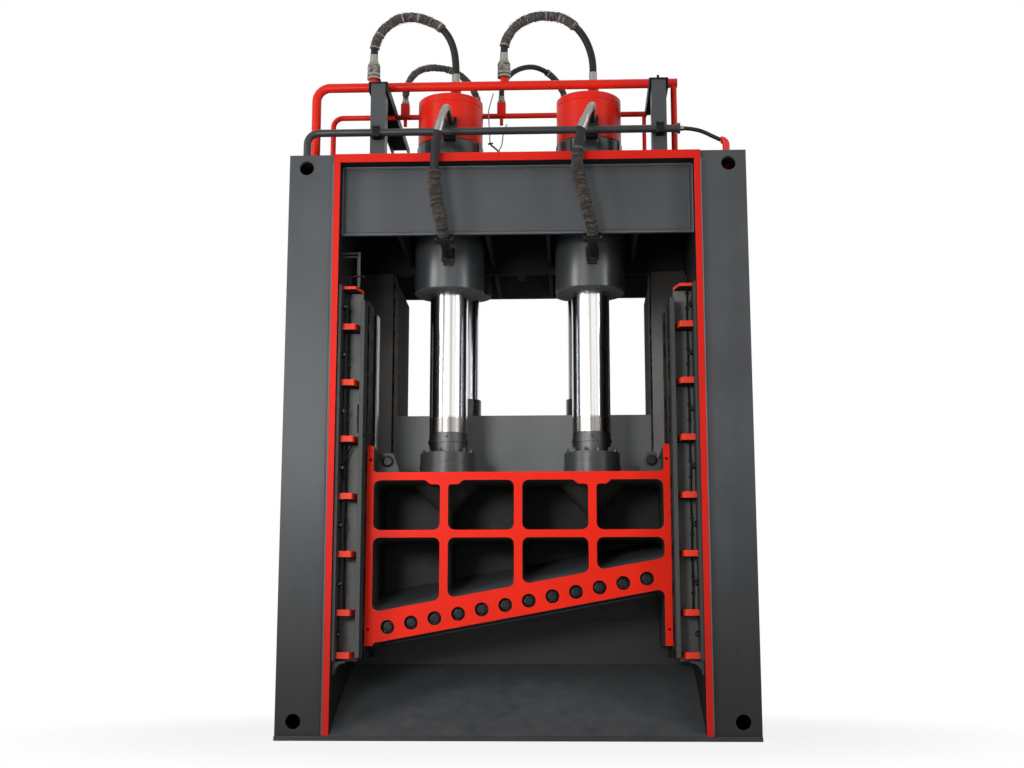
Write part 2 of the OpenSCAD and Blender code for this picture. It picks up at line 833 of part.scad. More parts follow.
module rear_column() {
    front = knife_beam_y + cheek_t;
    back = frame_d - rear_column_inset;
    inner = rear_opening_w / 2;
    top = plate_z - cross_rib_h;
    color(paint_grey)
    difference() {
        block([inner, front, base_t], [half_throat, back, top]);
        block([inner + rear_column_t, front + rear_column_t, base_t + rear_column_t],
            [half_throat + 1, back - rear_column_t, top - rear_column_t]);
    }
}

module press_liners() {
    color(grease)
    for (side = [-1, 1]) on_side(side)
        block([rear_opening_w / 2 - press_liner_t, press_front, table_z],
            [rear_opening_w / 2, press_front + press_liner_w, plate_z - cross_rib_h]);
}

// ---- Main cylinders ----

module main_barrel() {
    color(paint_grey)
    translate([main_x, main_y, 0])
        rotate_extrude()
            polygon([
                [main_rod_d / 2 + run_fit, collar_z], [collar_d / 2 - 12, collar_z],
                [collar_d / 2, collar_z + 12], [collar_d / 2, plate_z], [neck_d / 2, plate_z],
                [neck_d / 2, nut_top], [main_bore_d / 2 + run_fit, nut_top],
                [main_bore_d / 2 + run_fit, collar_z + gland_h],
                [main_rod_d / 2 + run_fit, collar_z + gland_h]
            ]);
}

module main_cap() {
    lid_z = cap_top - cap_lid_t;
    color(paint_red)
    translate([main_x, main_y, 0])
        rotate_extrude()
            polygon([
                [main_bore_d / 2 + run_fit, nut_top], [cap_d / 2, nut_top], [cap_d / 2, lid_z - 6],
                [cap_d / 2 - 6, lid_z - 3], [cap_d / 2, lid_z], [cap_d / 2, cap_top - 10],
                [cap_d / 2 - 10, cap_top], [0, cap_top], [0, lid_z], [main_bore_d / 2 + run_fit, lid_z]
            ]);
}

module main_nuts() {
    color(black)
    for (side = [-1, 1])
        translate([side * main_x, main_y, frame_h])
            difference() {
                rotate_extrude()
                    polygon([
                        [neck_d / 2 + run_fit, 0], [nut_d / 2 + 10, 0], [nut_d / 2 + 10, 28],
                        [nut_d / 2, 34], [nut_d / 2, nut_h - 20], [nut_d / 2 - 7, nut_h - 6],
                        [nut_d / 2 - 22, nut_h], [neck_d / 2 + run_fit, nut_h]
                    ]);
                // spanner slots
                for (a = [15 : 45 : 345])
                    rotate([0, 0, a]) translate([nut_d / 2, 0, nut_h / 2 + 40])
                        cube([24, 36, nut_h], center = true);
            }
}

// ---- Press cylinders ----

module press_barrels() {
    color(paint_grey)
    for (side = [-1, 1])
        translate([side * press_x, press_y, 0])
            rotate_extrude()
                polygon([
                    [press_rod_d / 2 + run_fit, press_head_z], [press_head_d / 2, press_head_z],
                    [press_head_d / 2, plate_z], [press_barrel_d / 2, plate_z],
                    [press_barrel_d / 2, press_cap_z], [0, press_cap_z], [0, press_cap_z - 50],
                    [press_bore_d / 2 + run_fit, press_cap_z - 50],
                    [press_bore_d / 2 + run_fit, press_head_z + 110],
                    [press_rod_d / 2 + run_fit, press_head_z + 110]
                ]);
}

// ---- Pipework ----

module big_pipe() {
    r = 110;
    color(paint_red)
    union() {
        bar_x(big_pipe_y, big_z, -big_leg_x + r, big_end_x, big_pipe_d);
        bend_down_left(-big_leg_x, big_pipe_y, big_z, r, big_pipe_d);
        bar_z(-big_leg_x, big_pipe_y, seat_z, big_z - r, big_pipe_d);
        bar_z(big_end_x - 30, big_pipe_y, frame_h, big_z, big_drop_d);
        for (x = big_stub_x) bar_z(x, big_pipe_y, big_z, big_z + stub_h, stub_d);
    }
}

module small_pipe() {
    r = 80;
    color(paint_red)
    union() {
        bar_x(small_pipe_y, small_z, -small_leg_x + r, small_end_x, small_pipe_d);
        bend_down_left(-small_leg_x, small_pipe_y, small_z, r, small_pipe_d);
        bar_z(-small_leg_x, small_pipe_y, seat_z, small_z - r, small_pipe_d);
        bar_z(small_end_x - 25, small_pipe_y, frame_h, small_z, small_drop_d);
        for (x = small_tee_x) {
            block([x - tee_w / 2, small_pipe_y - tee_w / 2, small_z - 10],
                [x + tee_w / 2, small_pipe_y + tee_w / 2, small_z + tee_h]);
            bar_z(x, small_pipe_y, small_z - 80, small_z - 10, 30);
        }
    }
}

module grey_pipe() {
    r = 90;
    color(paint_grey)
    union() {
        bar_x(grey_pipe_y, grey_z, -grey_leg_x + r, grey_end_x, grey_pipe_d);
        bend_down_left(-grey_leg_x, grey_pipe_y, grey_z, r, grey_pipe_d);
        bar_z(-grey_leg_x, grey_pipe_y, frame_h, grey_z - r, grey_pipe_d);
        bar_x(grey_pipe_y, grey_z, grey_end_x, side_nipple[0], grey_pipe_d + 24);
    }
}

module pipe_posts() {
    wall = 8;
    top = arm_z - arm_t;
    x = [post_x - post_w / 2, post_x + post_w / 2];
    color(paint_grey)
    for (side = [-1, 1]) on_side(side)
        difference() {
            block([x[0], post_y, frame_h], [x[1], post_y + post_d, top]);
            block([x[0] + wall, post_y + wall, frame_h - 1],
                [x[1] - wall, post_y + post_d - wall, top + 1]);
        }
}

// Channel arms and studs on the posts, and the saddles that hold the grey pipe
module post_fittings() {
    out = [post_x - arm_w / 2, post_x + arm_w / 2];
    reach = [arm_reach_left, arm_reach_right];
    grip = grey_pipe_d / 2 + 10;
    slot_w = small_pipe_d + 2 * bolt_gap;
    color(black)
    for (i = [0, 1]) on_side(SIDES[i][1]) {
        difference() {
            union() {
                block([out[0], arm_front, arm_z - arm_t], [out[1], reach[i], arm_z]);
                for (x = [out[0], out[1] - arm_t])
                    block([x, arm_front, arm_z - arm_h], [x + arm_t, reach[i], arm_z - arm_t]);
            }
            // slots that are open below, so that the pipe can turn down close to them
            bar_x(small_pipe_y, small_z, out[0] - 1, out[1] + 1, slot_w);
            block([out[0] - 1, small_pipe_y - slot_w / 2, arm_z - arm_h - 1],
                [out[1] + 1, small_pipe_y + slot_w / 2, small_z]);
        }
        bar_z(post_x, post_y + post_d / 2, arm_z, arm_z + 16, 40);
        bar_z(post_x, post_y + post_d / 2, arm_z, arm_z + 55, 20);
        // saddle of the grey pipe
        difference() {
            block([post_x - 30, grey_pipe_y - grip, grey_z - grip], [post_x + 30, post_y, grey_z + grip]);
            bar_x(grey_pipe_y, grey_z, post_x - 31, post_x + 31, grey_pipe_d + 2 * run_fit);
        }
    }
}

// Hexagon collars and ferrules at the ends of the hoses
module hose_fittings() {
    arch_ferrule = arch_hose_d + 2 * ferrule_wall;
    rear_ferrule = rear_hose_d + 2 * ferrule_wall;
    front_ferrule = front_hose_d + 2 * ferrule_wall;
    color(steel)
    union() {
        for (x = big_stub_x) {
            low = big_z + stub_h;
            hex_z(x, big_pipe_y, low, low + collar_hex_h, collar_hex_w);
            bar_z(x, big_pipe_y, low + collar_hex_h, arch_low_z, arch_ferrule);
        }
        for (x = small_tee_x) {
            low = small_z + tee_h;
            hex_z(x, small_pipe_y, low, low + small_hex_h, small_hex_w);
            bar_z(x, small_pipe_y, low + small_hex_h, rear_low_z, rear_ferrule);
        }
        for (side = [-1, 1]) {
            main_hex = cap_top + cap_nipple_h;
            press_hex = press_cap_z + cap_nipple_h;
            x = side * main_x + cap_top_x;
            rear_x = side * press_port_x;
            bar_z(x, main_y, cap_top, main_hex, 110);
            hex_z(x, main_y, main_hex, main_hex + cap_hex_h, 90);
            bar_z(x, main_y, main_hex + cap_hex_h, arch_high_z, arch_ferrule);
            bar_z(rear_x, press_y, press_cap_z, press_hex, 80);
            hex_z(rear_x, press_y, press_hex, press_hex + press_hex_h, small_hex_w);
            bar_z(rear_x, press_y, press_hex + press_hex_h, rear_high_z, rear_ferrule);
        }
        // upper ferrules of the front hoses
        for (i = [0, 1]) swung(i) bar_z(0, hose_y, -elbow_drop, -elbow_r, front_ferrule);
        // nipple between the grey pipe and the side hose
        bar_x(grey_pipe_y, grey_z, side_nipple[0], side_nipple[1], 40);
    }
}

// Places a cap port's fittings, swung about the port
module swung(i)
    translate([SIDES[i][1] * main_x + cap_port_x, 0, elbow_z]) rotate([0, elbow_swing[i], 0]) children();

// Flanged port blocks on the caps
module cap_port(axis) {
    x = axis + cap_port_x;
    difference() {
        union() {
            block([x - 62, 395, elbow_z - 45], [x + 48, 480, elbow_z + 45]);
            block([x - 52, 345, nut_top - 40], [x + 43, 425, elbow_z - 45]);
            block([x - 52, 395, nut_top + 10], [x + 43, 480, elbow_z - 45]);
        }
        bar_z(axis, main_y, nut_top - 100, cap_top, cap_d);
    }
}

// Flanged ports on the collars: a boss, a short bent pipe and a split clamp for the hose
module collar_port(axis) {
    x = axis + port_x;
    half = port_flange_w / 2;
    boss_y = port_front + port_flange_t;
    difference() {
        union() {
            block([x - half, port_front, port_z - half], [x + half, boss_y, port_z + half]);
            block([x - half + 12, boss_y, port_z - half - 26],
                [x + half - 12, port_back, port_z + half - 12]);
        }
        bar_z(axis, main_y, collar_z - 1, plate_z, collar_d);
    }
    bar_y(x, port_z, port_bend_y, port_front, port_pipe_d);
    translate([x, port_bend_y, port_z + port_bend_r]) rotate([0, -90, 0]) rotate([0, 0, 180])
        rotate_extrude(angle = clamp_tilt) translate([port_bend_r, 0]) circle(d = port_pipe_d);
    translate([x, 0, 0] + clamp_seat) rotate([clamp_tilt, 0, 0]) {
        linear_extrude(clamp_h - 12)
            polygon(rounded([[-76, -48, 24], [76, -48, 24], [76, 48, 24], [-76, 48, 24]]));
        cylinder(d = 94, h = clamp_h);
    }
}

module port_blocks() {
    color(black)
    for (side = [-1, 1]) {
        cap_port(side * main_x);
        collar_port(side * main_x);
    }
}

// Bent tubes from the cap ports to the front hoses, and the elbow on the right column
module port_elbows() {
    color(chrome)
    for (i = [0, 1])
        swung(i) {
            bar_y(0, 0, hose_y + elbow_r, 395, 58);
            translate([0, hose_y + elbow_r, -elbow_r]) rotate([0, -90, 0])
                rotate_extrude(angle = -90) translate([elbow_r, 0]) circle(d = 58);
        }
    color(paint_red)
    union() {
        bar_z(lift_x + 13, grey_pipe_y, seat_z, column_elbow_z, column_elbow_d);
        translate([lift_x + 13 - column_elbow_r, grey_pipe_y, column_elbow_z]) rotate([90, 0, 0])
            rotate_extrude(angle = 90) translate([column_elbow_r, 0]) circle(d = column_elbow_d);
    }
}

module front_hose_left()
    color(black) swept(front_route_left, front_hose_d, [1, 0, 0], elbow_leg(0), port_in);

module front_hose_right()
    color(black) swept(front_route_right, front_hose_d, [1, 0, 0], elbow_leg(1), port_in);

module arch_hose_left()
    color(black) swept(arch_route_left, arch_hose_d, [0, 1, 0], [0, 0, 1], [0, 0, -1]);

module arch_hose_right()
    color(black) swept(arch_route_right, arch_hose_d, [0, 1, 0], [0, 0, 1], [0, 0, -1]);

module rear_hoses() {
    color(black)
    for (route = [rear_route_left, rear_route_right])
        swept(route, rear_hose_d, [0, 1, 0], [0, 0, 1], [0, 0, -1], 10);
}

module side_hose()
    color(black) swept(side_route, side_hose_d, [0, 1, 0], [1, 0, 0], [1, 0, 0], 10);

// ---- Knife ----

module carriage_outline() {
    w = carriage_half;
    leg = w - leg_w;
    polygon(rounded([
        [-w, foot_z, 0], [-w + foot_w, foot_z, 0],
        [-w + foot_w + 7, foot_z + foot_rise, 0],
        [leg, edge_z(leg), 45], [leg, foot_z, 0], [w, foot_z, 0],
        [w, horn_z, 20], [w - horn_w, horn_z, 20], [w - horn_w, carriage_top, 30],
        [-w + horn_w, carriage_top, 30], [-w + horn_w, horn_z, 20], [-w, horn_z, 20]
    ]));
}

// The two upper pockets on the right of the centre
module upper_pockets() {
    low = carriage_top - mid_rail_drop;
    high = carriage_top - top_rail_t;
    rib = carriage_rib_t / 2;
    near = carriage_rib_x - rib;
    far = carriage_rib_x + rib;
    wall = carriage_half - carriage_side_t;
    polygon(rounded([
        [rib, low, pocket_r], [near, low, pocket_r], [near, high - pad_t, 25],
        [carriage_rib_x - pad_half_w, high - pad_t, 0],
        [carriage_rib_x - pad_half_w - 40, high, 0], [rib, high, pocket_r]
    ]));
    polygon(rounded([
        [far, low, pocket_r], [wall, low, pocket_r], [wall, high, pocket_r],
        [carriage_rib_x + pad_half_w + 40, high, 0],
        [carriage_rib_x + pad_half_w, high - pad_t, 0], [far, high - pad_t, 25]
    ]));
}

// A lower pocket between two upright walls, with its floor along the blade
module lower_pocket(x0, x1) {
    high = carriage_top - mid_rail_drop - mid_rail_t;
    polygon(rounded([
        [x0, edge_z(x0) + band_h, pocket_r], [x1, edge_z(x1) + band_h, pocket_r],
        [x1, high, pocket_r], [x0, high, pocket_r]
    ]));
}

blade_bolt_x = [for (i = [0 : blade_bolt_n - 1]) (i - (blade_bolt_n - 1) / 2) * blade_bolt_pitch - 8];

module knife_carriage() {
    rib = carriage_rib_t / 2;
    wall = carriage_half - carriage_side_t;
    pocket_back = carriage_back - carriage_back_t;
    seat_y = cut_y - upper_blade_t;
    floor_low = band_h * cos(cut_angle);
    color(paint_red)
    difference() {
        union() {
            difference() {
                upright(carriage_y, carriage_back) carriage_outline();
                upright(carriage_y - 1, pocket_back) {
                    upper_pockets();
                    mirror([1, 0]) upper_pockets();
                    lower_pocket(-wall, -carriage_rib_x - rib);
                    lower_pocket(-carriage_rib_x + rib, -rib);
                    lower_pocket(rib, carriage_rib_x - rib);
                    lower_pocket(carriage_rib_x + rib, wall);
                }
            }
            // floors of the lower pockets, rising to the back
            intersection() {
                upright(carriage_y, carriage_back) carriage_outline();
                translate([0, 0, edge_z(0)]) rotate([0, -cut_angle, 0])
                    sideways(-2 * carriage_half, 2 * carriage_half)
                        polygon([
                            [carriage_y + 30, floor_low], [carriage_y + 30, floor_low - 20],
                            [pocket_back + 1, floor_low - 20],
                            [pocket_back + 1, floor_low + floor_rise * cos(cut_angle)]
                        ]);
            }
            for (side = [-1, 1]) {
                // load cones under the rods
                translate([side * main_x, main_y, carriage_top - top_rail_t - cone_h])
                    cylinder(d1 = carriage_rib_t, d2 = cone_d, h = cone_h);
                // tongues in the guide boxes
                on_side(side)
                    block([carriage_half - 1, tongue_y - tongue_w / 2, foot_z + 60],
                        [box_x + tongue_h - slide_gap, tongue_y + tongue_w / 2, carriage_top]);
            }
        }
        // seat of the upper blade
        upright(seat_y, carriage_back + 1) blade_outline(0, 1);
        // tapped holes in the corners of the front
        for (side = [-1, 1]) for (z = [foot_z + 122, carriage_top + 94])
            bar_y(side * (carriage_half - horn_w / 2), z, carriage_y - 1, carriage_y + 40, corner_hole_d);
        // bolt holes through the band
        for (x = blade_bolt_x) {
            z = edge_z(x) + blade_bolt_rise;
            bar_y(x, z, carriage_y - 1, carriage_y + counterbore_depth, counterbore_d);
            bar_y(x, z, carriage_y, seat_y + 1, blade_bolt_d + 2 * bolt_gap);
        }
    }
}

// The upper blade's outline; grow lengthens it at both ends
module blade_outline(proud, grow) {
    x0 = -carriage_half - (grow > 0 ? 10 : 0);
    x1 = carriage_half - leg_w - 4 + grow * 2;
    polygon([
        [x0, edge_z(x0) - (grow > 0 ? 120 : proud)], [x1, edge_z(x1) - (grow > 0 ? 60 : proud)],
        [x1, edge_z(x1) + upper_blade_h], [x0, edge_z(x0) + upper_blade_h]
    ]);
}

module upper_blade() {
    color(steel)
    upright(cut_y - upper_blade_t, cut_y) blade_outline(upper_blade_proud, 0);
}

module blade_bolts() {
    head_y = carriage_y + counterbore_depth;
    color(steel)
    for (x = blade_bolt_x) {
        z = edge_z(x) + blade_bolt_rise;
        union() {
            bar_y(x, z, head_y - 12, head_y, 88);
            translate([x, head_y - 50, z]) rotate([-90, 0, 0]) cylinder(d = 80, h = 40, $fn = 6);
            bar_y(x, z, head_y - 1, cut_y - upper_blade_t, blade_bolt_d);
        }
    }
}

// Place of a lug's pin
lug_pin_at = [carriage_half - horn_w - 77, carriage_top + 112];

module lug_outline() {
    horn = carriage_half - horn_w;
    low = carriage_top;
    inner = horn - 174;
    polygon(rounded([
        [inner, low, 0], [horn - 30, low, 0], [horn, low + 30, 0], [horn, low + lug_h * 0.66, 0],
        [horn - 37, low + lug_h * 0.52, 18], [horn - 30, low + lug_h, 34],
        [inner + 58, low + lug_h, 34], [inner, low + 24, 0]
    ]));
}

module carriage_lugs() {
    y = main_y - 150;
    color(paint_grey)
    for (side = [-1, 1]) on_side(side)
        difference() {
            upright(y, y + lug_t) lug_outline();
            bar_y(lug_pin_at[0], lug_pin_at[1], y - 1, y + lug_t + 1, lug_pin_d + 2 * run_fit);
        }
}

module lug_pins() {
    y = main_y - 150;
    color(steel)
    for (side = [-1, 1]) on_side(side)
        bar_y(lug_pin_at[0], lug_pin_at[1], y - 30, y + lug_t + 30, lug_pin_d);
}

// ---- Rods ----

module main_rod() {
    color(chrome)
    translate([main_x, main_y, 0])
        union() {
            bar_z(0, 0, carriage_top + sleeve_h, piston_z + 1, main_rod_d);
            bar_z(0, 0, piston_z, piston_z + piston_h, main_bore_d);
        }
}

// Grey sleeves at the rods' feet, each with a collar that its flange holds down
module rod_sleeves() {
    collar_h = flange_h / 2 - 8;
    color(steel)
    for (side = [-1, 1])
        translate([side * main_x, main_y, carriage_top])
            difference() {
                union() {
                    cylinder(d = main_rod_d, h = sleeve_h);
                    cylinder(d = sleeve_collar_d, h = collar_h);
                    translate([0, 0, flange_h + 84]) cylinder(d = main_rod_d + 16, h = 24);
                }
                translate([0, -main_rod_d / 2 - 1, sleeve_h - 38])
                    rotate([-90, 0, 0]) cylinder(d = 16, h = 30);
            }
}

module rod_flanges() {
    split = flange_h / 2;
    bolt_r = (flange_d + main_rod_d) / 4 + foot_gap / 2;
    color(paint_grey)
    for (side = [-1, 1])
        translate([side * main_x, main_y, carriage_top]) {
            difference() {
                union() {
                    cylinder(d = flange_d + flange_step, h = split - 2);
                    cylinder(d = flange_d - 8, h = split + 2);
                    translate([0, 0, split]) cylinder(d = flange_d, h = split);
                }
                translate([0, 0, -1]) cylinder(d = sleeve_collar_d + 2 * bolt_gap, h = split - 8 + 1);
                cylinder(d = main_rod_d + 2 * foot_gap, h = flange_h + 1);
            }
            for (i = [0 : flange_bolt_n - 1])
                rotate([0, 0, (i + 0.5) * 360 / flange_bolt_n])
                    translate([bolt_r, 0, flange_h]) {
                        cylinder(d = flange_bolt_w, h = 20, $fn = 6);
                        translate([0, 0, 20]) cylinder(d = flange_bolt_w * 0.6, h = 14);
                    }
        }
}

// ---- Press ----

module press_block() {
    back = press_front + press_block_d;
    mid = (press_bottom + press_top) / 2;
    color(paint_grey)
    difference() {
        block([-press_half, press_front, press_bottom], [press_half, back, press_top]);
        // pockets open to the rear, between the walls and ribs
        upright(press_front + press_wall_t, back + 1)
            for (side = [-1, 1])
                for (cell = [[press_wall_t / 2, press_x - 40], [press_x + 40, press_half - press_wall_t]])
                    for (z = [press_bottom + press_wall_t, mid + press_wall_t / 2])
                        mirror([side < 0 ? 1 : 0, 0])
                            translate([cell[0], z])
                                square([cell[1] - cell[0], (press_block_h - 3 * press_wall_t) / 2 - 1]);
    }
}

module press_rods() {
    top = press_head_z + 130;
    color(chrome)
    for (side = [-1, 1])
        translate([side * press_x, press_y, 0])
            union() {
                bar_z(0, 0, press_top + fitting_h, top + 1, press_rod_d);
                bar_z(0, 0, top, top + 120, press_bore_d);
            }
}

module press_fittings() {
    color(paint_grey)
    for (side = [-1, 1])
        bar_z(side * press_x, press_y, press_top, press_top + fitting_h, fitting_d);
}

placed() base_plate();
for (s = SIDES) {
    placed() on_side(s[1]) side_plate();
    placed() on_side(s[1]) column_front();
    placed() on_side(s[1]) column_shell(s[1]);
    placed() on_side(s[1]) guide();
    placed() on_side(s[1]) guide_ribs();
    placed() on_side(s[1]) guide_box();
    placed() on_side(s[1]) rear_column();
    placed() on_side(s[1]) main_barrel();
    placed() on_side(s[1]) main_cap();
    placed() on_side(s[1]) main_rod();
}
placed() top_plate();
placed() beam_front_panel();
placed() beam_ribs();
placed() beam_cross_rib();
placed() beam_rear_panel();
placed() chute_plate();
placed() lower_knife_beam();
placed() feed_table();
placed() lower_blade();
placed() lower_blade_bolts();
placed() guide_bolts();
placed() guide_liners();
placed() press_liners();
placed() main_nuts();
placed() press_barrels();
placed() big_pipe();
placed() small_pipe();
placed() grey_pipe();
placed() pipe_posts();
placed() post_fittings();
placed() hose_fittings();
placed() port_blocks();
placed() port_elbows();
placed() front_hose_left();
placed() front_hose_right();
placed() arch_hose_left();
placed() arch_hose_right();
placed() rear_hoses();
placed() side_hose();
placed() knife_carriage();
placed() carriage_lugs();
placed() lug_pins();
placed() upper_blade();
placed() blade_bolts();
placed() rod_sleeves();
placed() rod_flanges();
placed() press_block();
placed() press_rods();
placed() press_fittings();
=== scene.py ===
# %% [markdown]
# # Dressing a gantry shear
# A gantry shear is a tall hydraulic press that cuts steel scrap. Two big cylinders push an
# inclined knife down in front of a second knife on the bed, and a clamp behind it, the press
# block, holds the scrap still. The solids come from an exact CAD model. In this lesson they
# stay where they are, and Blender adds what a CAD model leaves out: paint, chrome, rubber,
# woven sleeves, weld beads, small tubes and bolts.

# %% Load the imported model
import math
import random

import bmesh
import bpy
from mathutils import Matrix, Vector, noise


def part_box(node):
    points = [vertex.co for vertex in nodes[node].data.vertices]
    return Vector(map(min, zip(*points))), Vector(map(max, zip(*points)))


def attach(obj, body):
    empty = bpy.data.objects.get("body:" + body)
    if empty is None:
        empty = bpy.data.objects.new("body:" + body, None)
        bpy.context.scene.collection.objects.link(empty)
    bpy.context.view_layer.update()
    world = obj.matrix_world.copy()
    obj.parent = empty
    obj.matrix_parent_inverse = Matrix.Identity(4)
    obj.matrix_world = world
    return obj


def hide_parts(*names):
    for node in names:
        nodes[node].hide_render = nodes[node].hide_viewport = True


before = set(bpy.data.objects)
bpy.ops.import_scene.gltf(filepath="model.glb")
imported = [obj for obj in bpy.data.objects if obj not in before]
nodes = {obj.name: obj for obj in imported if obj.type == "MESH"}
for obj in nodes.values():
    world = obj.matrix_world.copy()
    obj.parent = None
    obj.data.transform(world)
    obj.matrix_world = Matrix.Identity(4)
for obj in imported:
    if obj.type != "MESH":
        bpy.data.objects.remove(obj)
scene = bpy.context.scene
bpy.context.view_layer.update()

# %% [markdown]
# ## Reference planes and axes
# Every piece goes where the CAD says. A few planes are used again and again: the front and
# the top of the frame and the axes of the cylinders. They are read from the solids once, so
# that nothing below has to guess them.

# %% Planes and axes read from the solids
SIDES = {"left": -1, "right": 1}
FORWARD, UP = Vector((0, -1, 0)), Vector((0, 0, 1))
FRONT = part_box("base_plate")[0].y
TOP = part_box("top_plate")[1].z
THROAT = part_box("side_plate_right")[0].x
COLLAR_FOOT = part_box("main_barrel_left")[0].z
ROD_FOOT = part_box("main_rod_left")[0].z
CAP_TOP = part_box("main_cap_left")[1].z
STUB_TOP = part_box("big_pipe")[1].z


def centre_of(name):
    low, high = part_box(name)
    return (low + high) / 2


def place(x, depth, z):
    """A point given by its distance right of the middle, behind the front and above the floor."""
    return Vector((x, FRONT + depth, z))


AXIS = {side: centre_of("main_rod_" + side).x for side in SIDES}
print("front", round(FRONT, 3), "top", round(TOP, 3), "cylinders at", AXIS)

# %% [markdown]
# ## Camera
# The camera stands low, a little right of the machine's middle, and is tilted up, so that the
# machine looks as tall as it is. A lens of normal length keeps the columns from leaning much.

# %% The camera
camera_data = bpy.data.cameras.new("camera")
camera_data.lens = 51.76
camera_data.sensor_width = 36
camera_data.clip_end = 300
camera = bpy.data.objects.new("camera", camera_data)
camera.location = (0.411, -11.977, 0.648)
camera.rotation_euler = (math.radians(100.21), 0, math.radians(2.36))
scene.collection.objects.link(camera)
scene.camera = camera
scene.view_settings.view_transform = "Standard"
print("camera at", tuple(round(v, 2) for v in camera.location))

# %% [markdown]
# ## Smooth lines through a few points
# Hoses and small tubes are drawn along smooth lines. A Catmull-Rom curve passes through every
# point it is given, so a route of a few points is enough, and points of equal spacing along
# it make even rings.

# %% Curves through points
BITS = 12  # short straight bits between one point of a route and the next


def smooth_line(points, count):
    """count points, evenly spaced, on a smooth line through the given ones."""
    p = [Vector(q) for q in points]
    p = [2 * p[0] - p[1], *p, 2 * p[-1] - p[-2]]
    fine = []
    for a, b, c, d in zip(p, p[1:], p[2:], p[3:]):
        for i in range(BITS):
            t = i / BITS
            fine.append(0.5 * (2 * b + (c - a) * t + (2 * a - 5 * b + 4 * c - d) * t**2
                               + (3 * b - a - 3 * c + d) * t**3))
    fine.append(p[-2])
    return even_line(fine, count)


def even_line(fine, count):
    """count points of even spacing along a line of many points."""
    run = [0.0]
    for a, b in zip(fine, fine[1:]):
        run.append(run[-1] + (b - a).length)
    line, k = [], 0
    for i in range(count):
        want = run[-1] * i / (count - 1)
        while k < len(run) - 2 and run[k + 1] < want:
            k += 1
        span = run[k + 1] - run[k]
        line.append(fine[k].lerp(fine[k + 1], (want - run[k]) / span if span else 0))
    return line


def line_length(line):
    return sum((b - a).length for a, b in zip(line, line[1:]))


def stretch_of(line, start, end, step):
    """The stretch of a line between two distances from its start, in steps of even length."""
    fine = even_line(line, 4 * len(line))
    total = line_length(fine)
    first, last = (round(d / total * (len(fine) - 1)) for d in (start, min(end, total)))
    return even_line(fine[first: last + 1], max(3, round((end - start) / step)))


# %% [markdown]
# ## Skins along a line
# Hoses, sleeves, weld beads and small tubes are all rings of points carried along a line. The
# rings turn as little as possible from one to the next, which keeps the skin from twisting.
# The radius may change with the distance along the line and with the angle, so one function
# makes a smooth tube, a wrinkled sleeve and a rippled bead.


# %% Rings carried along a line
def turned_frames(line):
    """Two directions across the line at each of its points, turned as little as possible."""
    ways = [(b - a).normalized() for a, b in zip(line, line[1:])]
    ways = [ways[0]] + [(a + b).normalized() for a, b in zip(ways, ways[1:])] + [ways[-1]]
    side = ways[0].cross(Vector((0.31, 0.22, 0.93))).normalized()
    frames = []
    for way in ways:
        side = (side - way * side.dot(way)).normalized()
        frames.append((side, way.cross(side)))
    return frames


def add_ring(mesh, centre, across, radius_at, count):
    """One ring of points around a centre. radius_at gives the radius for an angle."""
    ring = []
    for k in range(count):
        angle = 2 * math.pi * k / count
        way = across[0] * math.cos(angle) + across[1] * math.sin(angle)
        ring.append(mesh.verts.new(centre + way * radius_at(angle)))
    return ring


def join_rings(mesh, rings):
    """Faces between each ring and the next."""
    for first, second in zip(rings, rings[1:]):
        for k in range(len(first)):
            after = (k + 1) % len(first)
            mesh.faces.new((first[k], first[after], second[after], second[k]))


def close_ends(mesh, rings):
    mesh.faces.new(list(reversed(rings[0])))
    mesh.faces.new(rings[-1])


def add_skin(mesh, line, radius, count, inner=None):
    """A closed skin along a line. radius is a number, or a function of distance and angle. With
    an inner radius it is a sleeve with a wall, and without one its ends are flat discs. The
    layer "along" keeps each point's distance from the start."""
    outside = radius if callable(radius) else lambda distance, angle: radius
    along = mesh.verts.layers.float.get("along") or mesh.verts.layers.float.new("along")
    frames = turned_frames(line)
    rings, run = [], 0.0
    for i, (centre, across) in enumerate(zip(line, frames)):
        run += (centre - line[i - 1]).length if i else 0.0
        rings.append(add_ring(mesh, centre, across, lambda angle: outside(run, angle), count))
        for vertex in rings[-1]:
            vertex[along] = run
    if inner:
        for centre, across in reversed(list(zip(line, frames))):
            rings.append(add_ring(mesh, centre, across, lambda angle: inner, count))
        rings.append(rings[0])
    else:
        close_ends(mesh, rings)
    join_rings(mesh, rings)


# %% [markdown]
# ## Formulas of shader nodes
# A material is a small tree of nodes, and most of its nodes only add, multiply or compare. The
# class below lets a node's output be used like a number: a sum of two outputs adds the node
# that makes it. An effect is built once as a node group with named sockets, and then used in
# many finishes.


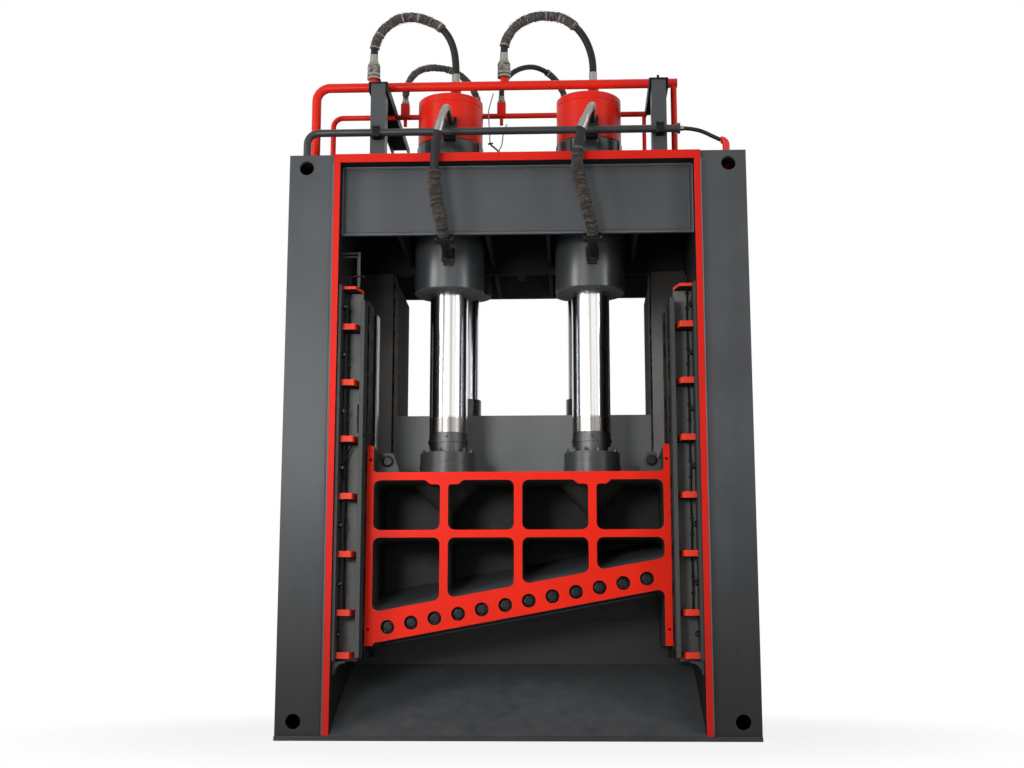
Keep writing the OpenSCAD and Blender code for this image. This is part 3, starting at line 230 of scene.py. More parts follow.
# %% Nodes and their outputs
class Value:
    """A node's output. Sums, products and comparisons of values are Math nodes."""

    def __init__(self, tree, socket):
        self.tree, self.socket = tree, socket

    def math(self, operation, other=0.0, clamp=False):
        return add(self.tree, "Math", {0: self, 1: other}, operation=operation, use_clamp=clamp)[0]

    def __add__(self, other):
        return self.math("ADD", other)

    def __mul__(self, other):
        return self.math("MULTIPLY", other)

    def __gt__(self, other):
        return self.math("GREATER_THAN", other)

    def __lt__(self, other):
        return self.math("LESS_THAN", other)

    def ramp(self, low, high, bottom=0.0, top=1.0):
        """The value stretched from low..high to bottom..top, with smooth ends."""
        sockets = {0: self, 1: low, 2: high, 3: bottom, 4: top}
        return add(self.tree, "MapRange", sockets, interpolation_type="SMOOTHSTEP")[0]

    def mix(self, first, second):
        """The first colour where the value is 0, and the second where it is 1."""
        return mix_node(self.tree, "MIX", self, first, second)

    def scale(self, colour):
        """A colour made lighter or darker by the value."""
        grey = add(self.tree, "CombineColor", {0: self, 1: self, 2: self})[0]
        return mix_node(self.tree, "MULTIPLY", 1.0, colour, grey)


class Outputs:
    """The outputs of a node as values, by name or by index."""

    def __init__(self, tree, node):
        self.tree, self.node = tree, node

    def __getitem__(self, key):
        return Value(self.tree, self.node.outputs[key])


def add(tree, kind, sockets=(), **settings):
    """Adds a shader node. Its sockets are {name or index: number, colour or Value}."""
    node = tree.nodes.new("ShaderNode" + kind)
    for key, value in settings.items():
        setattr(node, key, value)
    for key, value in dict(sockets).items():
        socket = node.inputs[key]
        if isinstance(value, Value):
            tree.links.new(value.socket, socket)
        elif socket.type == "RGBA" and len(value) == 3:
            socket.default_value = (*value, 1)
        else:
            socket.default_value = value
    return Outputs(tree, node)


def mix_node(tree, blend, factor, first, second):
    """A colour Mix node, whose sockets are 0, 6 and 7."""
    sockets = {0: factor, 6: first, 7: second}
    return add(tree, "Mix", sockets, data_type="RGBA", blend_type=blend)[2]


def at(tree, letter):
    """How far a point lies along X, Y or Z of the machine."""
    return add(tree, "SeparateXYZ", {0: add(tree, "TexCoord")["Object"]})[letter]


def looks(tree, letter):
    """How much a face looks along X, Y or Z."""
    return add(tree, "SeparateXYZ", {0: add(tree, "NewGeometry")["Normal"]})[letter]


def place_noise(tree, scale, detail=4.0, roughness=0.5, stretch=(1, 1, 1)):
    """Noise fixed to the object, in metres. stretch is larger where it changes faster."""
    where = add(tree, "TexCoord")["Object"]
    if stretch != (1, 1, 1):
        where = add(tree, "Mapping", {"Vector": where, "Scale": stretch})[0]
    return add(tree, "TexNoise", {"Vector": where, "Scale": scale, "Detail": detail,
                                  "Roughness": roughness})["Fac"]


# %% Node groups
def open_group(name, inputs):
    """A new node group with inputs and what each of them is when nothing is given."""
    tree = bpy.data.node_groups.new(name, "ShaderNodeTree")
    for label, value in inputs.items():
        kind = "NodeSocketColor" if isinstance(value, tuple) else "NodeSocketFloat"
        tree.interface.new_socket(label, in_out="INPUT", socket_type=kind).default_value = value
    return tree, Outputs(tree, tree.nodes.new("NodeGroupInput"))


def close_group(tree, results):
    """Gives a node group its outputs, {name: Value}."""
    kinds = {"RGBA": "NodeSocketColor", "VALUE": "NodeSocketFloat"}
    for label, value in results.items():
        kind = kinds[value.socket.type]
        tree.interface.new_socket(label, in_out="OUTPUT", socket_type=kind)
    end = tree.nodes.new("NodeGroupOutput")
    for label, value in results.items():
        tree.links.new(value.socket, end.inputs[label])
    return tree


def use(tree, effect, sockets):
    """Places a node group in a material."""
    return add(tree, "Group", sockets, node_tree=effect)


# %% [markdown]
# ## Effects that several finishes share
# Sprayed paint is never one even colour: it has soft clouds, a fine orange-peel surface and runs of
# dust. Corners rub bright first. Dust settles on faces that look up. The foot of the machine is
# darker towards the floor, partly splashed dirt and partly painted shade for the light that falls
# off low down. Each of these is a node group that puts out masks, colours and heights, and each
# finish sets its own strength.

# %% Clouds and orange peel of sprayed paint
tree, given = open_group("sprayed film", {"Colour": (0.5, 0.5, 0.5, 1), "Cloud strength": 0.2})
patches = place_noise(tree, 1.4, detail=5) * 0.65
runs = place_noise(tree, 5.0, detail=3, stretch=(1, 1, 0.12)) * 0.35
cloud = (patches + runs).ramp(0.35, 0.65, -1.0, 1.0)
sprayed = close_group(tree, {
    "Colour": (cloud * given["Cloud strength"] + 1.0).scale(given["Colour"]),
    "Cloud": cloud,
    "Height": place_noise(tree, 160.0, detail=2) + place_noise(tree, 9.0) * 2.0,
})

# %% Rubbed edges, where a rounded normal leaves the plain one
tree, given = open_group("rubbed edges", {"Radius": 0.01, "Amount": 0.5})
rounded = add(tree, "Bevel", {"Radius": given["Radius"]}, samples=4)[0]
plain = add(tree, "NewGeometry")["Normal"]
facing = add(tree, "VectorMath", {0: rounded, 1: plain}, operation="DOT_PRODUCT")["Value"]
edge = facing.ramp(0.75, 0.98, 1.0, 0.0)
patches = place_noise(tree, 26.0, detail=6, roughness=0.65).ramp(0.40, 0.62)
worn = close_group(tree, {"Mask": edge * patches * given["Amount"]})

# %% Dust on faces that look up, stains, and a foot darkened by dirt and painted shade
FOOT_SHADE_TOP = 2.4
tree, given = open_group("settled dust", {"Amount": 0.5, "Grime": 0.2, "Foot grime and shade": 0.0})
speckle = place_noise(tree, 7.0, detail=8, roughness=0.7).ramp(0.25, 0.75)
stain = place_noise(tree, 2.2, detail=9, roughness=0.72, stretch=(1, 1, 0.5)).ramp(0.50, 0.74)
# darker towards the floor: partly splashed dirt, partly painted shade for the light that falls off
# low down
foot_grime_and_shade = at(tree, "Z").ramp(0.0, FOOT_SHADE_TOP, 1.0, 0.0) * given["Foot grime and shade"]
dusty = close_group(tree, {
    "Dust": looks(tree, "Z").ramp(0.35, 0.95) * speckle * given["Amount"],
    # the Grime output holds the stains and also the painted shade at the foot
    "Grime": (stain * given["Grime"]).math("ADD", foot_grime_and_shade, clamp=True),
})

# %% Marks left by a tool or a slide, drawn out upwards
tree, given = open_group("drawn marks", {"Across": 300.0, "Along": 3.0, "Strength": 0.5})
stretch = add(tree, "CombineXYZ", {0: given["Across"], 1: given["Across"], 2: given["Along"]})[0]
where = add(tree, "VectorMath", {0: add(tree, "TexCoord")["Object"], 1: stretch},
            operation="MULTIPLY")[0]
marks = add(tree, "TexNoise", {"Vector": where, "Scale": 1.0, "Detail": 3.0})["Fac"]
drawn = close_group(tree, {"Value": (marks + -0.5) * given["Strength"], "Height": marks})
print("shared effects:", [g.name for g in bpy.data.node_groups if g.type == "SHADER"])

# %% [markdown]
# ## Paints
# The frame wears a dark slate grey enamel and the knife, the cylinder caps and the pipes a warm red
# one. Both are plain Principled shaders: the film's colour and roughness come from the shared
# effects, and the gloss stays a number on the shader. On many pieces only the faces that look
# forward are red, because they were masked before spraying, so a paint can carry a second colour
# for all that lies behind a depth. That second colour is mostly a dark painted shade of the
# recesses, pockets and inner faces behind the front; on the knife it is also the grey paint of the
# pockets. Faces there that look up can get a lighter colour, painted light, and faces that look
# down a darker one, painted shade.

# %% Colours of the films and of what lies on them
SLATE = (0.074, 0.079, 0.084)
SIGNAL_RED = (0.82, 0.020, 0.008)
# painted shade: a near-black colour for faces deep in the throat, in pockets and in hollows, where
# little light reaches
INSIDE_SHADE = (0.010, 0.0103, 0.0107)
DUST = (0.20, 0.19, 0.17)
GRIME_AND_FOOT_SHADE = (0.016, 0.015, 0.014)
BARE = (0.30, 0.30, 0.31)


def open_material(name):
    material = bpy.data.materials.new(name)
    material.use_nodes = True
    material.node_tree.nodes.clear()
    return material, material.node_tree


def close_material(material, tone, rough, height, strength, distance, shine=0.5, metallic=0.0,
                   sheen=0.0):
    """Ends a material with a Principled shader. strength and distance are those of its bump."""
    tree = material.node_tree
    bump = add(tree, "Bump", {"Strength": strength, "Distance": distance, "Height": height})
    surface = add(tree, "BsdfPrincipled", {
        "Base Color": tone, "Roughness": rough, "Metallic": metallic, "Normal": bump["Normal"],
        "Specular IOR Level": shine, "Sheen Weight": sheen})
    add(tree, "OutputMaterial", {"Surface": surface[0]})
    return material


# %% The enamel
def enamel(name, colour, gloss=0.42, clouds=0.12, wear=0.25, dust=0.25, grime=0.15, foot_grime_and_shade=0.0,
           shine=0.32, behind=None, front_depth=0.0, shadowed=None, lit_floors=None):
    """Sprayed machine paint. behind is a second colour for all that lies behind front_depth, mostly
    a dark painted shade of the recesses there; a third colour, painted light, is for the faces
    there that look up, and shadowed is painted shade for all that look down."""
    material, tree = open_material(name)
    base = colour
    if behind:
        # painted shade and light: behind the front depth the colour is darker, and faces there that
        # look up are lighter
        patches = place_noise(tree, 6.0, detail=8, roughness=0.65).ramp(0.42, 0.66, 0.0, 0.6)
        far = patches.mix(behind, tuple(1.5 * v for v in behind))
        if lit_floors:
            far = (looks(tree, "Z") > 0.5).mix(far, lit_floors)
        base = (at(tree, "Y") < FRONT + front_depth).mix(far, base)
    down = looks(tree, "Z") < -0.5
    if shadowed:
        # painted shade on the faces that look down
        base = down.mix(base, shadowed)
    film = use(tree, sprayed, {"Colour": base, "Cloud strength": clouds})
    lying = use(tree, dusty, {"Amount": dust, "Grime": grime, "Foot grime and shade": foot_grime_and_shade})
    rubbed = use(tree, worn, {"Radius": 0.008, "Amount": wear})
    tone = lying["Grime"].mix(film["Colour"], GRIME_AND_FOOT_SHADE)
    tone = rubbed["Mask"].mix(lying["Dust"].mix(tone, DUST), BARE)
    rough = film["Cloud"] * 0.04 + gloss + lying["Dust"] * 0.4 + lying["Grime"] * 0.12
    rough = rough.math("ADD", down * 0.6, clamp=True)  # oil and soot below
    return close_material(material, tone, rough, film["Height"], 0.08, 0.002, shine)


paint = {
    "slate": enamel("slate enamel", SLATE, foot_grime_and_shade=0.9, shine=0.20),
    "foot": enamel("foot slate", (0.034, 0.036, 0.040), shine=0.22, wear=0.4),
    "panel": enamel("panel slate", (0.068, 0.073, 0.078), clouds=0.08, grime=0.08, shine=0.25),
    "chute": enamel("chute slate", (0.060, 0.067, 0.075), clouds=0.08, grime=0.10, gloss=0.5,
                    shine=0.2),
    "bed": enamel("bed slate", (0.038, 0.038, 0.037), clouds=0.10, gloss=0.5, shine=0.2),
    # the press block is painted lighter than the slate, a lit copy standing for the front light on
    # it
    "pale": enamel("lit press slate", (0.19, 0.195, 0.198), clouds=0.08, grime=0.08, shine=0.2),
    # inner: near-black painted shade for what lies deep in the throat
    "inner": enamel("inner shade slate", INSIDE_SHADE, gloss=0.65, grime=0.4, wear=0.05, dust=0.2, shine=0.1),
    "red": enamel("signal red", SIGNAL_RED, gloss=0.30, clouds=0.05, wear=0.08, grime=0.05,
                  dust=0.05, shine=0.20),
    # painted light and shade: the rib red is a little lighter than the signal red for the weaker
    # light there, darker behind its front, and near-black underneath
    "rib": enamel("guide rib red", (0.88, 0.055, 0.024), gloss=0.45, clouds=0.05, wear=0.15,
                  grime=0.10, dust=0.06, shine=0.15, behind=(0.05, 0.012, 0.010),
                  front_depth=0.242, shadowed=(0.020, 0.010, 0.009)),
    # painted shade: the side and top plates are near-black behind their red front edge
    "edge": enamel("red front edge", (0.70, 0.018, 0.010), gloss=0.50, clouds=0.05, wear=0.08,
                   grime=0.05, foot_grime_and_shade=0.22, shine=0.10, behind=INSIDE_SHADE, front_depth=0.0035),
    # the pockets are grey behind the red face, darkened as painted shade, and their floors that
    # look up are painted light
    "knife": enamel("knife carriage", (0.84, 0.020, 0.006), gloss=0.45, clouds=0.05, wear=0.10,
                    grime=0.05, dust=0.08, shine=0.10, behind=(0.032, 0.032, 0.030),
                    front_depth=0.3035, lit_floors=(0.075, 0.081, 0.088)),
    "black": enamel("black enamel", (0.010, 0.010, 0.011), gloss=0.50, grime=0.2, shine=0.14,
                    dust=0.05),
    "nut": enamel("nut slate", (0.024, 0.027, 0.031), gloss=0.24, wear=0.15, grime=0.1, shine=0.6),
    "drum": enamel("cylinder slate", (0.034, 0.037, 0.040), gloss=0.30, clouds=0.08, wear=0.12,
                   shine=0.75, dust=0.05),
    "pipe": enamel("pipe slate", (0.028, 0.030, 0.032), gloss=0.34, clouds=0.10, wear=0.15,
                   shine=0.4, dust=0.05),
    "flange": enamel("flange slate", (0.046, 0.048, 0.051), gloss=0.34, clouds=0.10, wear=0.5,
                     shine=0.35, dust=0.05),
    # the beads are painted lighter and bluer than the slate, a painted highlight along the seams
    "bead": enamel("lit bead slate", (0.125, 0.137, 0.148), grime=0.10, wear=0.0, foot_grime_and_shade=0.45),
    "brown": enamel("brown plastic", (0.10, 0.055, 0.040), gloss=0.5, shine=0.2),
}

# %% [markdown]
# ## Plates that face two ways
# The guides and the rear columns are welded from plates. The face that looks forward is a dusty
# warm grey, and the faces that look sideways, inside the throat, are near-black, painted shade
# where little light reaches. The way a face looks picks the colour. On the guides, what looks
# forward deep behind the front is painted lighter, as painted light, and the rear columns darken
# near their top as a painted shadow of the beam.


# %% Guide and rear column
def two_way(name, ahead, shaded_aside, lit_deep=None, depth=0.0, tall=0.0):
    """Dusty paint ahead, a near-black painted shade on the faces that look sideways, and a lighter
    colour, painted light, on what looks forward behind a depth. tall draws the sideways colour out
    in upright streaks and darkens the top as a painted shadow of the beam."""
    material, tree = open_material(name)
    if lit_deep:
        ahead = (at(tree, "Y") > FRONT + depth).mix(ahead, lit_deep)
    film = use(tree, sprayed, {"Colour": ahead, "Cloud strength": 0.12})
    if tall:
        streaks = place_noise(tree, 7.0, detail=5, stretch=(1, 1, 0.05)).ramp(0.35, 0.65)
        shaded_aside = streaks.mix(shaded_aside, tuple(v * tall for v in shaded_aside))
    lying = use(tree, dusty, {"Grime": 0.22})
    rubbed = use(tree, worn, {"Radius": 0.008, "Amount": 0.2})
    forward = looks(tree, "Y") < -0.5
    tone = lying["Grime"].mix(forward.mix(shaded_aside, film["Colour"]), GRIME_AND_FOOT_SHADE)
    tone = rubbed["Mask"].mix(tone, BARE)
    if tall:
        # painted shadow of the beam: the top of the column turns near-black
        beam_shadow = at(tree, "Z").ramp(2.95, 3.65, 0.0, 0.9)
        tone = beam_shadow.mix(tone, (0.010, 0.009, 0.008))
    rough = forward * -0.5 + 1.0
    return close_material(material, tone, rough, film["Height"], 0.10, 0.002, shine=0.15)


# the guide's web behind the front depth is painted lighter, as painted light; its sideways faces
# are painted shade
paint["guide"] = two_way("guide slate", (0.060, 0.062, 0.063), (0.030, 0.031, 0.031),
                         lit_deep=(0.165, 0.165, 0.158), depth=0.20)
paint["stone"] = two_way("rear column slate", (0.290, 0.275, 0.262), (0.020, 0.017, 0.015),
                         tall=2.6)

# %% [markdown]
# ## Bare metal, rubber and cloth
# Hard chrome on the rods is almost a mirror, with fine lines from the wipers along its stroke;
# broad upright bands of white, bluish and tan in its colour are painted reflections. Turned steel
# is darker and shows the tool's rings. Rubber is nearly black and matt, and the woven sleeves over
# the hoses are grey-brown, rough and fuzzy at a grazing angle.


# %% Metals
def metal(name, colour, gloss, marks, across=300.0, along=3.0, grime=0.3, wear=0.0):
    """Bare or plated metal with drawn marks and a little grime."""
    material, tree = open_material(name)
    streak = use(tree, drawn, {"Across": across, "Along": along, "Strength": marks})
    lying = use(tree, dusty, {"Grime": grime})
    tone = lying["Grime"].mix((streak["Value"] + 1.0).scale(colour), GRIME_AND_FOOT_SHADE)
    if wear:
        tone = use(tree, worn, {"Radius": 0.006, "Amount": wear})["Mask"].mix(tone, BARE)
    rough = (streak["Value"] * 0.5 + gloss).math("ADD", lying["Grime"] * 0.3, clamp=True)
    return close_material(material, tone, rough, streak["Height"], 0.05, 0.0005, metallic=1.0)


def hard_chrome():
    """Polished rod with fine lines from the wipers along the stroke. Broad upright bands of white,
    bluish and a little tan in its colour are painted reflections. Its foot, which never enters the
    cylinder, is duller."""
    material, tree = open_material("hard chrome")
    broad, fine, tint = (use(tree, drawn, {"Across": across, "Along": along, "Strength": 1.0})
                         for across, along in ((26.0, 0.05), (130.0, 0.25), (17.0, 0.04)))
    # painted reflection: broad and fine upright bands of white, bluish and tan colour in the metal
    reflection_bands = (fine["Value"] * 0.35 + broad["Value"]).ramp(-0.13, 0.10)
    reflected_tint = tint["Value"].ramp(-0.10, 0.12).mix((0.36, 0.39, 0.45), (0.46, 0.40, 0.31))
    dull = at(tree, "Z").ramp(ROD_FOOT + 0.105, ROD_FOOT + 0.135, 1.0, 0.0)
    foot = reflection_bands.mix((0.12, 0.11, 0.10), (0.36, 0.35, 0.33))
    tone = dull.mix(reflection_bands.mix(reflected_tint, (0.93, 0.93, 0.94)), foot)
    rough = fine["Value"] * 0.05 + 0.16 + dull * 0.12
    height = fine["Height"] * 0.3 + broad["Height"]
    return close_material(material, tone, rough, height, 0.10, 0.0006, metallic=1.0)


paint.update({
    "chrome": hard_chrome(),
    "worn_hex": metal("worn collar steel", (0.30, 0.27, 0.23), 0.34, 0.3, across=90, along=20,
                      grime=0.55, wear=0.5),
    "turned": metal("turned steel", (0.085, 0.084, 0.083), 0.45, 0.35, across=4, along=260,
                    grime=0.25),
    "steel": metal("tool steel", (0.075, 0.076, 0.079), 0.38, 0.3, across=60, along=60,
                   grime=0.4, wear=0.3),
    "dark_bolt": metal("black bolt", (0.020, 0.020, 0.021), 0.40, 0.2, wear=0.35),
    "blade_head": metal("bolt head steel", (0.014, 0.014, 0.0135), 0.45, 0.3, wear=0.9),
    "wire": metal("wire", (0.24, 0.24, 0.25), 0.40, 0.1),
})


# %% Rubber and woven sleeve
def rubber():
    material, tree = open_material("hose rubber")
    film = use(tree, sprayed, {"Colour": (0.0105, 0.0105, 0.0115), "Cloud strength": 0.25})
    tone = use(tree, dusty, {"Amount": 0.10})["Dust"].mix(film["Colour"], DUST)
    return close_material(material, tone, 0.50, film["Height"], 0.15, 0.001, shine=0.25)


def woven(name, colour, pale, patches=(0.30, 0.60)):
    """Coarse sleeve cloth: threads around the hose, creased, stained and fuzzy. The valleys of the
    creases are darker and their ridges paler, as painted shade. The threads follow the layer
    "along", the distance from the sleeve's start."""
    material, tree = open_material(name)
    along = add(tree, "Attribute", attribute_name="along")["Fac"]
    stained = place_noise(tree, 22.0, detail=9, roughness=0.72).ramp(*patches)
    lean = place_noise(tree, 9.0, detail=2) * 0.05 + along
    crease = add(tree, "TexNoise", {"W": lean, "Scale": 55.0, "Detail": 3.0},
                 noise_dimensions="1D")
    ridges_and_valley_shade = crease["Fac"].ramp(0.40, 0.56)
    fuzz = place_noise(tree, 420.0, detail=3, roughness=0.7)
    # painted shade: the crease valleys darken the cloth and the ridges lighten it
    light = (fuzz.ramp(0.35, 0.70) * 0.35 + stained * 0.45) * (ridges_and_valley_shade * 1.1 + 0.25)
    height = fuzz * 1.6 + ridges_and_valley_shade * 1.5 + (along * 1400.0).math("SINE") * 0.25
    return close_material(material, light.mix(colour, pale), 0.85, height, 0.55, 0.002,
                          shine=0.2, sheen=0.15)


paint.update({
    "rubber": rubber(),
    "sleeve": woven("woven sleeve", (0.015, 0.0132, 0.0112), (0.105, 0.091, 0.078),
                    (0.40, 0.64)),
    "arch_sleeve": woven("grey woven sleeve", (0.035, 0.033, 0.032), (0.17, 0.155, 0.145),
                         (0.36, 0.60)),
    "tape": woven("pale tape", (0.26, 0.22, 0.20), (0.46, 0.40, 0.37)),
    "thread": woven("loose thread", (0.42, 0.34, 0.31), (0.62, 0.54, 0.50)),
})

# %% [markdown]
# ## Finished pieces
# Every mesh that Blender adds ends in the same way: it becomes a piece that rides on a body
# of the machine, wears one finish and fills one material slot. Nuts, bolt heads and rings are
# turned shapes, which are rings of points standing on one another.


def keep(mesh, name, finish, body="frame", smooth=40):
    """Turns a bmesh into a piece. Edges sharper than smooth, in degrees, stay sharp."""
    bmesh.ops.recalc_face_normals(mesh, faces=mesh.faces)
    data = bpy.data.meshes.new(name)
    mesh.to_mesh(data)
    mesh.free()
    data.materials.append(paint[finish])
    data.shade_smooth()
    data.set_sharp_from_angle(angle=math.radians(smooth))
    piece = bpy.data.objects.new(name, data)
    scene.collection.objects.link(piece)
    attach(piece, body)
    return piece


def add_turned(mesh, foot, way, profile, count=20, spin=0.0):
    """A turned or hexagonal shape standing on a point. profile is (radius, height) pairs."""
    way = Vector(way).normalized()
    side = way.orthogonal().normalized()
    other = way.cross(side)
    across = (side * math.cos(spin) + other * math.sin(spin),
              other * math.cos(spin) - side * math.sin(spin))
    rings = [add_ring(mesh, foot + way * height, across, lambda angle: radius, count)
             for radius, height in profile]
    close_ends(mesh, rings)
    join_rings(mesh, rings)


# %% [markdown]
# ## Hoses
# Seven rubber hoses carry oil to the cylinders: two hang in front of the beam, two arch over
# the big cylinders, two bend down to the rear ones and a short one feeds the right column.
# Each is a skin of even radius. All of them end in fittings, so their length is what the
# route shows. A route's points lie right of the middle, behind the front and above the top.

# %% Thickness and route of each hose
ROUTES = {
    "front_hose_left": (0.070, [
        (-0.5989, -0.060, 0.1509), (-0.611, -0.060, 0.040), (-0.622, -0.061, -0.090),
        (-0.623, -0.062, -0.210), (-0.614, -0.062, -0.330), (-0.595, -0.062, -0.440),
        (-0.577, -0.054, -0.530), (-0.563, -0.026, -0.602), (-0.551, 0.0229, -0.6577)]),
    "front_hose_right": (0.070, [
        (0.4981, -0.060, 0.1613), (0.482, -0.060, 0.060), (0.467, -0.061, -0.040),
        (0.464, -0.062, -0.140), (0.478, -0.062, -0.240), (0.500, -0.062, -0.335),
        (0.528, -0.062, -0.440), (0.553, -0.054, -0.530), (0.569, -0.026, -0.602),
        (0.579, 0.0229, -0.6577)]),
    "arch_hose_left": (0.060, [
        (-1.185, 0.552, 1.030), (-1.178, 0.556, 1.120), (-1.145, 0.568, 1.210),
        (-1.080, 0.584, 1.300), (-0.980, 0.602, 1.368), (-0.865, 0.622, 1.387),
        (-0.750, 0.642, 1.362), (-0.650, 0.660, 1.310), (-0.582, 0.678, 1.228),
        (-0.543, 0.692, 1.125), (-0.527, 0.699, 1.010), (-0.525, 0.700, 0.910)]),
    "arch_hose_right": (0.060, [
        (-0.121, 0.552, 1.030), (-0.114, 0.556, 1.115), (-0.078, 0.568, 1.205),
        (-0.010, 0.584, 1.290), (0.085, 0.602, 1.352), (0.195, 0.622, 1.380),
        (0.305, 0.642, 1.380), (0.405, 0.660, 1.345), (0.490, 0.678, 1.275),
        (0.552, 0.690, 1.180), (0.589, 0.698, 1.075), (0.603, 0.700, 0.985),
        (0.605, 0.700, 0.910)]),
    "rear_hose_left": (0.045, [
        (-0.980, 1.050, 0.850), (-0.976, 1.056, 0.930), (-0.945, 1.090, 1.040),
        (-0.880, 1.150, 1.135), (-0.785, 1.230, 1.195), (-0.680, 1.320, 1.222),
        (-0.585, 1.400, 1.217), (-0.500, 1.470, 1.175), (-0.435, 1.530, 1.100),
        (-0.398, 1.575, 1.000), (-0.386, 1.596, 0.890), (-0.385, 1.600, 0.760),
        (-0.385, 1.600, 0.600)]),
    "rear_hose_right": (0.045, [
        (-0.165, 1.050, 0.850), (-0.160, 1.058, 0.935), (-0.120, 1.085, 1.030),
        (-0.055, 1.130, 1.110), (0.030, 1.200, 1.172), (0.120, 1.280, 1.203),
        (0.210, 1.370, 1.195), (0.290, 1.450, 1.150), (0.350, 1.520, 1.075),
        (0.379, 1.570, 0.980), (0.385, 1.598, 0.870), (0.385, 1.600, 0.750),
        (0.385, 1.600, 0.600)]),
    "side_hose": (0.032, [
        (1.305, 0.280, 0.270), (1.380, 0.280, 0.260), (1.450, 0.280, 0.240),
        (1.530, 0.280, 0.200), (1.590, 0.280, 0.170)]),
}
CAD_HOSE = {"rear_hose_left": "rear_hoses", "rear_hose_right": "rear_hoses"}

# %% Make the hoses
hose_line, total = {}, {}
for name, (diameter, route) in ROUTES.items():
    line = smooth_line([place(x, depth, TOP + above) for x, depth, above in route], 60)
    hose_line[name], total[name] = line, line_length(line)
    mesh = bmesh.new()
    add_skin(mesh, line, diameter / 2, 24)
    hose = keep(mesh, "hose_" + name, "rubber", smooth=50)
    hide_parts(CAD_HOSE.get(name, name))
    print(name, "is", round(total[name], 3), "m long")

# %% [markdown]
# ## Finishing the CAD solids
# A machined or flame-cut edge is never perfectly sharp, and a sharp edge catches no light.
# Two modifiers round the edges of every solid without touching its mesh: Weld joins the
# corners that the file stores apart, and Bevel rounds what is left sharp. Weighted normals
# keep the flat faces flat.

# %% Which solids wear which finish. A name that ends in _ stands for all that start with it
FINISH = {
    "slate": "column_front_ column_shell_ feed_table pipe_posts beam_rear_panel carriage_lugs",
    "foot": "base_plate",
    "bed": "lower_knife_beam lower_blade",
    "panel": "beam_front_panel",
    "chute": "chute_plate",
    "pale": "press_block",
    "stone": "rear_column_",
    "guide": "guide_left guide_right",
    # the inner finish is near-black painted shade for the ribs and boxes deep in the throat
    "inner": "beam_ribs beam_cross_rib guide_box_",
    "drum": "main_barrel_ press_barrels press_fittings",
    "pipe": "grey_pipe",
    "edge": "side_plate_ top_plate",
    "knife": "knife_carriage",
    "rib": "guide_ribs_",
    "red": "main_cap_ big_pipe small_pipe",
    "nut": "main_nuts",
    "black": "port_blocks post_fittings",
    "chrome": "main_rod_ press_rods",
    "fittings": "hose_fittings",
    "elbows": "port_elbows",
    "turned": "rod_sleeves",
    "flange": "rod_flanges",
    "steel": "upper_blade",
    "blade_head": "blade_bolts",
    "dark_bolt": "lower_blade_bolts guide_bolts lug_pins",
    "liners": "guide_liners",
    "press_grease": "press_liners",
}
ROUNDING = {"guide_bolts": 0.0015, "blade_bolts": 0.0015, "lower_blade_bolts": 0.0015,
            "rod_flanges": 0.0015, "hose_fittings": 0.0015, "port_blocks": 0.002,
            "guide_liners": 0.0008, "upper_blade": 0.001, "lower_blade": 0.001}

# %% [markdown]
# ## Solids with two finishes
# Some solids hold two finishes: a nipple that was sprayed red with its cap under a plated
# ferrule, or a liner whose rear strip is rubbed bright. A mask that is 1 inside a box of
# the machine's own space keeps them apart, so the solid stays whole.

# %% Masks by place
FAR = 99  # a box that reaches this far has no end there


def inside(tree, low, high):
    """1 inside a box given by (x, depth, z) corners, 0 outside it."""
    mask = None
    for letter, least, most in zip("XYZ", place(*low), place(*high)):
        for test, limit in (("GREATER_THAN", least), ("LESS_THAN", most)):
            if abs(limit) < FAR / 2:
                within = at(tree, letter).math(test, limit)
                mask = mask * within if mask else within
    return mask


def plated_and_red(name, red_box, worn_boxes=(), rub=0.5):
    """Satin plated steel with red paint in one box and worn brown steel in others."""
    material, tree = open_material(name)
    streak = use(tree, drawn, {"Across": 60.0, "Along": 8.0, "Strength": 0.2})
    lying = use(tree, dusty, {"Grime": 0.12})
    rubbed = use(tree, worn, {"Radius": 0.005, "Amount": rub})
    rust = place_noise(tree, 24.0, detail=7, roughness=0.7).ramp(0.35, 0.65)
    rust = rust.mix((0.30, 0.28, 0.25), (0.060, 0.045, 0.034))
    tone = (0.30, 0.29, 0.27)
    for low, high in worn_boxes:
        tone = inside(tree, low, high).mix(tone, rust)
    tone = lying["Grime"].mix((streak["Value"] + 1.0).scale(tone), GRIME_AND_FOOT_SHADE)
    tone = rubbed["Mask"].mix(tone, (0.55, 0.55, 0.54))
    red = inside(tree, *red_box)
    rough = lying["Grime"] * 0.3 + 0.30 + red * 0.12
    return close_material(material, red.mix(tone, SIGNAL_RED), rough, streak["Height"], 0.05,
                          0.0005, metallic=red * -1.0 + 1.0)


def liner_finish(name, colour, bright_from=None):
    """Grease in black loops, and rubbed metal on the left side behind a depth, if given."""
    material, tree = open_material(name)
    loops = add(tree, "TexWave", {"Vector": add(tree, "TexCoord")["Object"], "Scale": 3.0,
                                  "Distortion": 16.0, "Detail": 3.0, "Detail Scale": 1.5})
    thick = loops["Fac"].ramp(0.35, 0.75)
    streak = use(tree, drawn, {"Across": 45.0, "Along": 1.2, "Strength": 0.4})
    tone, metallic = thick.mix(colour, (0.004, 0.004, 0.004)), 0.0
    rough = streak["Value"] + 0.75
    if bright_from:
        clean = place_noise(tree, 5.0, detail=6, stretch=(1, 1, 0.15)).ramp(0.28, 0.36)
        metallic = inside(tree, (-FAR, bright_from, 1.0), (0, FAR, FAR)) * clean
        tone = metallic.mix(tone, (0.50, 0.50, 0.50))
        rough = metallic * -0.35 + rough
    return close_material(material, tone, rough, thick + streak["Height"], 0.3, 0.002,
                          shine=0.1, metallic=metallic)


